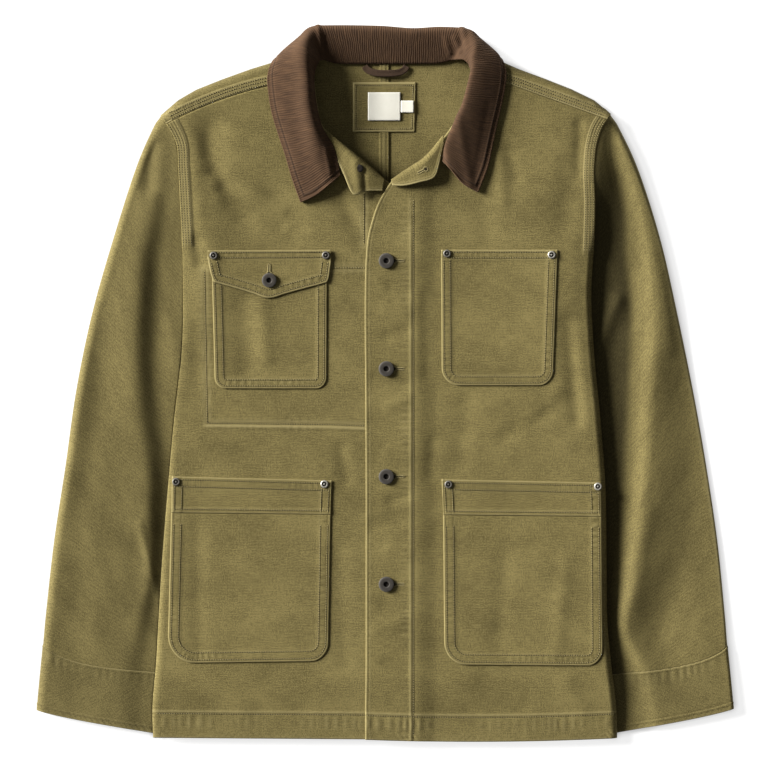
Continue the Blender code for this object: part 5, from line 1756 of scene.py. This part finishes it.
patch_z = CLOTH + GAP + TAPE / 2
x, y, z = flat_grid(LABEL_PATCH, patch_z, 1.1)
x = x - PATCH_SLANT * (LABEL_PATCH[3] - y) * (x > 0) * x / LABEL_PATCH[2]
from_side = np.minimum(x - LABEL_PATCH[0], x.max(axis=1)[:, None] - x)
from_rim = np.minimum(from_side, np.minimum(y - LABEL_PATCH[1], LABEL_PATCH[3] - y))
relief = folded_band(from_rim, x + y, 2.4, (3.2,), 0.22, 0.3)
relief[..., 1] += 0.9 * bell(from_rim, 0.6, 1.0)
relief[..., 0] += 0.25 * np.sin(x / 9.0 + 0.6) * np.sin(y / 7.0)
place = stack(x, y) * MM + 0.77
cloth_piece("label_patch_canvas", stack(x, y, z + relief[..., 0]), relief, place, thickness=TAPE)
for name, corners in LABELS.items():
    x, y, z = flat_grid(corners, patch_z + TAPE + GAP, 1.3)
    z = z + 0.35 + 0.16 * np.sin(x / 4.3) + 0.12 * np.sin(y / 5.1 + 1)
    cloth_piece(f"{name}_woven", stack(x, y, z), finish=label_cloth, slot="white_label", thickness=0.5)

line = stack(*along(HANGER_LOOP, "x y z", np.linspace(0, len(HANGER_LOOP) - 1, 70)))
run = unit(np.gradient(line[:, :2], axis=0))
sideways = stack(run[:, 1], -run[:, 0], 0.0)
over_tape = np.linspace(-LOOP_WIDTH / 2, LOOP_WIDTH / 2, 9)
loop = line[:, None, :] + sideways[:, None, :] * over_tape[None, :, None]
loop[..., 2] += 0.25 * np.abs(np.sin(over_tape * math.pi / LOOP_WIDTH))[None, :]
cloth_piece("hanger_loop_tape", loop, finish=tape, slot="brown_tape", thickness=LOOP_THICK)

# %% [markdown]
# ## Buttons and rivets
# Each is a profile spun about an upright axis: a list of radii and heights, carried
# round a circle.  The profile also says where the metal is rubbed bright and where dirt
# gathers.  The tack buttons have a broad ring, a groove, an inner lip and an open
# centre, and the rivets a ring with a nipple in a dark dish.

# %% Turned metal
Trim = namedtuple("Trim", "name x y diameter carrier height")
CARRIERS = {  # the front that a trim is over, and how high its cloth lies on it
    "front_left": ("left", 0.0),
    "front_right": ("right", 0.0),
    "flap": ("right", FLAP_LIFT),
    "band_left": ("left", BAND_LIFT),
    "band_right": ("right", BAND_LIFT),
}
FRONT_BUTTON = (2.5, 16.5, "front_left", 3.0)  # x, diameter, carrier and height
FRONT_BUTTON_Y = {"button_2": 132.2, "button_3": 16.3, "button_4": -99.4, "button_5": -214.9}
BUTTONS = [Trim(name, FRONT_BUTTON[0], y, *FRONT_BUTTON[1:]) for name, y in FRONT_BUTTON_Y.items()]
BUTTONS += [
    Trim("flap_button", -123.2, 111.3, 15.8, "flap", 3.0),
    Trim("button_1", -27.6, 228.4, 15.2, "front_right", 2.4),
]
RIVET = (8.6, 1.8)  # diameter and height
RIVETS = [
    Trim(f"rivet_{name}", x, y, RIVET[0], carrier, RIVET[1])
    for name, x, y, carrier in (
        ("flap_outer", -182.8, 137.8, "flap"),
        ("flap_inner", -62.4, 138.2, "flap"),
        ("chest_inner", 67.7, 140, "band_left"),
        ("chest_outer", 179.8, 138.6, "band_left"),
        ("lower_right_outer", -223.2, -104.9, "band_right"),
        ("lower_right_inner", -64, -107.4, "band_right"),
        ("lower_left_inner", 69.2, -107.8, "band_left"),
        ("lower_left_outer", 229.6, -110, "band_left"),
    )
]
BRIGHT_RIVETS = ("rivet_chest_outer", "rivet_lower_right_inner", "rivet_lower_left_outer")
TACK_BACK = Trim("button_1_back", -26.3, 231, 8.5, "corner", 1.0)

# Profiles from the foot to the top: radius and height as shares, then rubbed and dirt.
BUTTON_PROFILE = [
    (0, 0, 0, 1),
    (0.90, 0, 0, 1),
    (0.98, 0.3, 0.1, 0.3),
    (1, 0.58, 0.35, 0),
    (0.965, 0.78, 0.6, 0),
    (0.90, 0.86, 0.3, 0),
    (0.72, 0.88, 0.05, 0.05),
    (0.52, 0.87, 0.05, 0.05),
    (0.42, 0.86, 0.25, 0),
    (0.365, 0.8, 0.3, 0.1),
    (0.33, 0.6, 0, 0.9),
    (0.30, 0.3, 0, 1),
    (0.16, 0.22, 0, 0.75),
    (0, 0.25, 0, 0.7),
]
RIVET_PROFILE = [
    (0, 0, 0, 1),
    (0.96, 0, 0, 0.6),
    (1, 0.2, 0.2, 0.2),
    (0.97, 0.55, 0.8, 0),
    (0.86, 0.86, 1.0, 0),
    (0.72, 0.95, 1.0, 0),
    (0.60, 0.86, 0.7, 0),
    (0.52, 0.45, 0, 1),
    (0.40, 0.30, 0, 1),
    (0.30, 0.36, 0, 0.7),
    (0.24, 0.75, 0.5, 0.1),
    (0.12, 0.88, 0.8, 0),
    (0, 0.9, 0.8, 0),
]
DOME_PROFILE = [
    (0, 0, 0, 1),
    (0.96, 0, 0, 1),
    (1, 0.35, 0.1, 0.8),
    (0.9, 0.7, 0.1, 0.7),
    (0.6, 1.0, 0, 0.8),
    (0.3, 0.9, 0, 0.9),
    (0, 0.8, 0, 1),
]


def place_on(trim, sunk=0.0):
    """Where a trim's foot stands on its cloth."""
    side, lift = CARRIERS[trim.carrier]
    height = float(front_height(side, trim.x, trim.y)) + lift + (CLOTH / 2 + GAP)
    return trim.x, trim.y, height - sunk


def turned_metal(trim, shares, segments, place, finish, slot):
    """Carries a profile round a circle; its first and last points lie on the axis and
    close the two poles."""
    profile = np.array(shares) * (trim.diameter / 2, trim.height, 1, 1)
    turn = np.linspace(0, 2 * math.pi, segments, endpoint=False)[:, None]
    ring = profile[1:-1]
    body = stack(ring[:, 0] * np.cos(turn), ring[:, 0] * np.sin(turn), ring[:, 1])
    count = len(ring)
    points = np.concatenate([body.reshape(-1, 3), [[0, 0, profile[0, 1]], [0, 0, profile[-1, 1]]]])
    index = np.arange(segments * count).reshape(segments, count)
    after = np.roll(index, -1, axis=0)
    walls = stack(index[:, :-1], after[:, :-1], after[:, 1:], index[:, 1:]).reshape(-1, 4)
    feet = stack(segments * count, after[:, 0], index[:, 0])
    caps = stack(index[:, -1], after[:, -1], segments * count + 1)
    faces = walls.tolist() + feet.tolist() + caps.tolist()
    mesh = new_mesh(f"{trim.name}_metal", points + np.array(place), faces, finish)
    wear_and_shade = np.concatenate([np.tile(ring[:, 2:], (segments, 1)), profile[[0, -1], 2:]])
    keep_wear_and_shade(mesh, wear_and_shade[:, 0], wear_and_shade[:, 1])
    mesh.shade_smooth()
    mesh.set_sharp_from_angle(angle=math.radians(38))
    new_object(mesh, slot, trim.name)


for trim in BUTTONS:
    turned_metal(trim, BUTTON_PROFILE, 40, place_on(trim), gunmetal, "gunmetal")
for trim in RIVETS:
    finish = bright_steel if trim.name in BRIGHT_RIVETS else steel
    turned_metal(trim, RIVET_PROFILE, 28, place_on(trim, -0.2), finish, "aged_steel")
tack_foot = corner_points("right", TACK_BACK.x, TACK_BACK.y)[0] + (0, 0, DOUBLE_CLOTH / 2 + GAP)
turned_metal(TACK_BACK, DOME_PROFILE, 28, tack_foot, gunmetal, "aged_steel")
print(len(BUTTONS), "buttons,", len(RIVETS), "rivets, tack back at", tack_foot.round(1))

# %% [markdown]
# ## Stitches
# A stitch is a short rounded bar that dips into the cloth at both ends, and between two stitches the needle
# leaves a hole, drawn as a small dark pit of painted shade.  One small shape is copied along every row: the
# row's line is walked at even steps, and each copy is turned to the row's direction and to the cloth under
# it.  All copies with one thread are one mesh.

# %% Rows of stitches
STITCH_STEP = 2.6
STITCH_LENGTH = 1.7
STITCH_RADIUS = 0.42
STITCH_WIDER = 1.15  # width of a stitch by its height
HOLE_SIZE = (0.64, 0.62)  # half length and half width of a needle hole
STITCH_ROWS = {"olive": [], "brown": []}
NEEDLE_HOLES = []

turn = np.linspace(0, 2 * math.pi, 5, endpoint=False)
near_ring, far_ring = (stack(end, np.cos(turn), np.sin(turn)) for end in (-0.34, 0.34))
bar = np.concatenate([[[-0.5, 0, -0.5]], near_ring, far_ring, [[0.5, 0, -0.5]]])
near, far = np.arange(1, 6), np.arange(6, 11)
next_near, next_far = np.roll(near, -1), np.roll(far, -1)
start_faces, end_faces = stack(0, next_near, near), stack(far, next_far, 11)
side_faces = [stack(near, next_near, next_far), stack(near, next_far, far)]
bar_faces = np.concatenate([start_faces, *side_faces, end_faces])
pit = np.array([[1, 0, 0], [0, 1, 0], [-1, 0, 0], [0, -1, 0], [0, 0, 1], [0, 0, -1]], float)
pit_faces = np.array([[0, 1, 4], [1, 2, 4], [2, 3, 4], [3, 0, 4], [1, 0, 5], [2, 1, 5], [3, 2, 5], [0, 3, 5]])


def add_row(line, up, thread="olive", step=STITCH_STEP):
    """Walks a dense line of points and keeps each stitch's middle, direction and up."""
    walked = walk(line)
    count = max(2, int(walked[-1] / step))
    at = (np.arange(count) + 0.5) * walked[-1] / count
    middle = points_at(at, walked, line)
    direction = unit(points_at(at + 0.6, walked, line) - points_at(at - 0.6, walked, line))
    across = unit(np.cross(points_at(at, walked, up), direction))
    normal = np.cross(direction, across)
    size = STITCH_LENGTH * (1 + 0.08 * np.sin(at * 3.1))
    STITCH_ROWS[thread].append((middle, direction, across, normal, size, np.full(count, STITCH_RADIUS)))
    holes = (middle[1:] + middle[:-1]) / 2 + normal[1:] * 0.02
    sizes = [np.full(count - 1, half) for half in (HOLE_SIZE[0], HOLE_SIZE[1] / STITCH_WIDER)]
    NEEDLE_HOLES.append((holes, direction[1:], across[1:], normal[1:], *sizes))


def row_on(surface, line, **sizes):
    """A row on a height surface: the line in plan is resampled and laid on it."""
    walked = walk(line)
    at = np.linspace(0, walked[-1], max(4, int(walked[-1] / 1.2)))
    x, y = points_at(at, walked, line).T
    slope_x = (surface(x + 0.8, y) - surface(x - 0.8, y)) / 1.6
    slope_y = (surface(x, y + 0.8) - surface(x, y - 0.8)) / 1.6
    add_row(stack(x, y, surface(x, y)), stack(-slope_x, -slope_y, 1.0), **sizes)


def on_front(side, raise_by=0.0):
    return lambda x, y: front_height(side, x, y) + CLOTH / 2 + raise_by


def on_patch(side, lift, raise_by=0.42):
    return on_front(side, lift + (POCKET_CLOTH - CLOTH) / 2 + raise_by)


def edge_rows(on, start, end, towards, distances, short=2):
    """Rows beside a straight edge, each moved from it by a distance and cut short."""
    for distance in distances:
        ends = [np.array(point) + np.multiply(towards, distance) for point in (start, end)]
        run = unit(ends[1] - ends[0])
        row_on(on, np.array([ends[0] + run * short, ends[1] - run * short]))


def corners_of(patch):
    """The corners of a pocket: upper left, upper right, lower left and lower right."""
    return np.reshape(patch[1:9], (4, 2))


for side, sign in SIDES.items():
    rows = FRONT[side]
    on = on_front(side, 0.1)
    hem_x = np.linspace(rows[0].inner_x + sign, body_edge(side, rows[0].outer_y) - sign * 3, 60)
    row_on(on, stack(hem_x, hem_edge(side, hem_x) + HEM_STITCH))
    y = np.linspace(UNDERARM[side] + 2, rows[-1].outer_y - 2, 80)
    for distance in ARMHOLE_ROWS:
        row_on(on_front(side, 0.62), stack(body_edge(side, y) - sign * distance, y))
row_on(on_front("left", 0.0), [(PLACKET_STITCH + 0.4, -378), (PLACKET_STITCH + 0.4, 198)])
for line in BAG_OUTLINE:
    row_on(on_front("right", -0.15), line)
row_on(on_front("right", 0.05), UNDERLAP_STITCH)

for name, patch in PATCHES.items():
    kind = name.split("_")[0]
    on = on_patch(patch.side, POCKET_LIFT)
    for distance in POCKET_ROWS[kind]:
        row_on(on, moved_line(patch_outline(patch), distance)[2:-2])
    if kind == "chest":
        edge_rows(on, *corners_of(patch)[:2], (0, -1), MOUTH_ROWS[kind], 1.6)
for patch in BANDS.values():
    on = on_patch(patch.side, BAND_LIFT)
    upper_left, upper_right, lower_left, lower_right = corners_of(patch)
    edge_rows(on, upper_left, upper_right, (0, -1), MOUTH_ROWS["lower"])
    edge_rows(on, lower_left, lower_right, (0, 1), [BAND_FOOT_ROW])
    for distance in POCKET_ROWS["lower"]:
        edge_rows(on, upper_left, lower_left, (1, 0), [distance])
        edge_rows(on, upper_right, lower_right, (-1, 0), [distance])
for distance in FLAP_ROWS:
    row_on(on_patch("right", FLAP_LIFT, 0.62), moved_line(flap_edge, distance)[6:-6])
flap_top = [(row.x, row.top_y) for row in (FLAP[0], FLAP[-1])]
edge_rows(on_patch("right", FLAP_LIFT, 0.36), *flap_top, (0, -1), FLAP_TOP_ROWS)
print("rows so far:", len(STITCH_ROWS["olive"]))

# %% Rows on the sleeves, collar and neck
CUFF_STITCHED = (5, -8)  # the rows of a cuff's grid that are stitched

for side, sign in SIDES.items():
    rings, relief, out = cuff_parts(side)
    top = rings + out * (DOUBLE_CLOTH / 2 - 0.12)
    for row in CUFF_STITCHED:
        add_row(np.append(top[row], top[row, :1], axis=0), np.append(out[row], out[row, :1], axis=0))
    wrap = back_panel(side, np.array([1.0]), np.linspace(2, 3, 60), np.linspace(0.3, 1, 60))[1:]
    to_seam = np.linalg.norm(wrap - wrap[-1:], axis=2)
    up = normals_of(wrap) * -sign
    for distance in SHOULDER_ROWS:
        picked = np.argmin(np.abs(to_seam - distance), axis=0), np.arange(wrap.shape[1])
        path = wrap[picked] + up[picked] * (CLOTH / 2 + 0.5)
        add_row(path[1:-2], up[picked][1:-2])

pile = collar_top + collar_out * (CLOTH / 2 - 0.1)
beside_row = np.abs(collar_distance - COLLAR_ROW)
inner_stations = (stations > 0.35) & (stations < 26.65)
picked = np.arange(len(stations)), np.argmin(beside_row + 50 * (strip < 0.8), axis=1)
add_row(pile[picked][inner_stations], collar_out[picked][inner_stations], "brown")
half, inside = len(stations) // 2, 20  # a column well inside the strip
last_row = len(stations) - 1 - np.argmin(beside_row[:half:-1, inside])
for station in (np.argmin(beside_row[:half, inside]), last_row):
    add_row(pile[station, 6:-6], collar_out[station, 6:-6], "brown")

left, low, right, high = LABEL_PATCH + np.array([1, 1, -1, -1]) * 3.2  # the row inside its rim
lean = PATCH_SLANT * (LABEL_PATCH[3] - LABEL_PATCH[1])
patch_line = [(left, high), (right, high), (right - lean, low), (left, low), (left, high)]
row_on(lambda x, y: 0 * x + patch_z + TAPE / 2 + 0.1, patch_line, step=2.3)
for x in CENTRE_ROWS:
    row_on(lambda x, y: 0 * x + 2 * FLOOR + 0.55, [(x, 200), (x, 340)])
print("all rows:", len(STITCH_ROWS["olive"]), "olive,", len(STITCH_ROWS["brown"]), "brown")

# %% [markdown]
# A buttonhole is a slit whose edge is covered with close, short stitches set square to
# it.  The slit of a work jacket ends in a round eye, so its outline is a keyhole.

# %% Buttonholes
HOLE_STEP = 0.62
HOLE_STITCH = (1.7, 0.34)  # length and radius of a buttonhole stitch
SLIT_HALF = 0.3


def keyhole(length, eye):
    """Outline of a buttonhole along +x: a slit from a round eye at 0 to its far end."""
    turn = np.linspace(math.radians(35), math.radians(325), 18)
    round_eye = eye * stack(np.cos(turn), np.sin(turn))
    slit = [(eye * 0.9, -SLIT_HALF), (length, -SLIT_HALF), (length + 0.3, 0)]
    slit += [(length, SLIT_HALF), (eye * 0.9, SLIT_HALF)]
    return np.concatenate([round_eye, slit, round_eye[:1]])


def buttonhole(x, y, angle, length, eye, surface):
    """Satin stitches square to the outline; returns the painted shadow inside the slit."""
    turn = math.radians(angle)
    spin = np.array([[math.cos(turn), math.sin(turn)], [-math.sin(turn), math.cos(turn)]])
    outline = keyhole(length, eye) @ spin + np.array([x, y])
    walked = walk(outline)
    points = points_at(np.arange(0, walked[-1], HOLE_STEP), walked, outline)
    run = unit(np.gradient(points, axis=0))
    middle = points + stack(run[:, 1], -run[:, 0]) * 0.75
    middle = stack(*middle.T, surface(*middle.T))
    direction, across = stack(run[:, 1], -run[:, 0], 0.0), stack(-run[:, 0], -run[:, 1], 0.0)
    normal = np.tile([0.0, 0.0, 1.0], (len(points), 1))
    sizes = [np.full(len(points), size) for size in HOLE_STITCH]
    STITCH_ROWS["olive"].append((middle, direction, across, normal, *sizes))
    return stack(*points.T, surface(*points.T) + 0.12)


def on_left_corner(x, y):
    return corner_points("left", x, y)[:, 2].reshape(np.shape(x)) + DOUBLE_CLOTH / 2


slit_shadows = [buttonhole(10.6, y, 0, 10.5, 1.9, on_front("left", 0.1)) for y in FRONT_BUTTON_Y.values()]
slit_shadows.append(buttonhole(-123.2, 118.6, 90, 9.5, 1.6, on_patch("right", FLAP_LIFT, 0.3)))
slit_shadows.append(buttonhole(44.8, 230.2, 207, 9.0, 1.6, on_left_corner))
starts = np.cumsum([0] + [len(slit_shadow) for slit_shadow in slit_shadows])
slit_faces = [list(range(start, end - 1))[::-1] for start, end in zip(starts, starts[1:])]
# the slits are dark sheets of painted shadow inside the buttonholes
slits = new_mesh("buttonhole_slits", np.concatenate(slit_shadows), slit_faces, slit_shade)
new_object(slits, "olive_canvas")
print("buttonholes:", len(slit_shadows))

# %% Sewing
def sew(name, rows, finish, slot, shape=bar, shape_faces=bar_faces):
    """One mesh of all the copies of a small shape that one list of rows asks for."""
    middle, direction, across, normal, size, radius = (np.concatenate(part)[:, None] for part in zip(*rows))
    along_x, along_y, along_z = (shape[None, :, axis] for axis in range(3))
    points = middle + direction * (along_x * size)[..., None]
    points = points + across * (along_y * radius * STITCH_WIDER)[..., None]
    points = points + normal * (along_z * radius)[..., None]
    faces = shape_faces[None] + np.arange(len(points))[:, None, None] * len(shape)
    mesh = new_mesh(name, points.reshape(-1, 3), faces.reshape(-1, 3).tolist(), finish)
    mesh.shade_smooth()
    new_object(mesh, slot)
    print(name, len(points), "copies,", len(points) * len(shape_faces), "triangles")


sew("olive_stitches", STITCH_ROWS["olive"], olive_thread, "olive_canvas")
sew("brown_stitches", STITCH_ROWS["brown"], brown_thread, "brown_corduroy")
# dark pits in the needle holes: painted shade
sew("needle_holes", NEEDLE_HOLES, hole_shade, "olive_canvas", pit, pit_faces)

# %% [markdown]
# ## The end
# The box of the finished model is measured, and its size printed.

# %% Sizes and finish
low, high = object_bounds()
({
        "cad": [list(cad_low), list(cad_high)],
        "visual": [list(low), list(high)],
    })
print("visual size:", [round(value, 4) for value in high - low], "m")
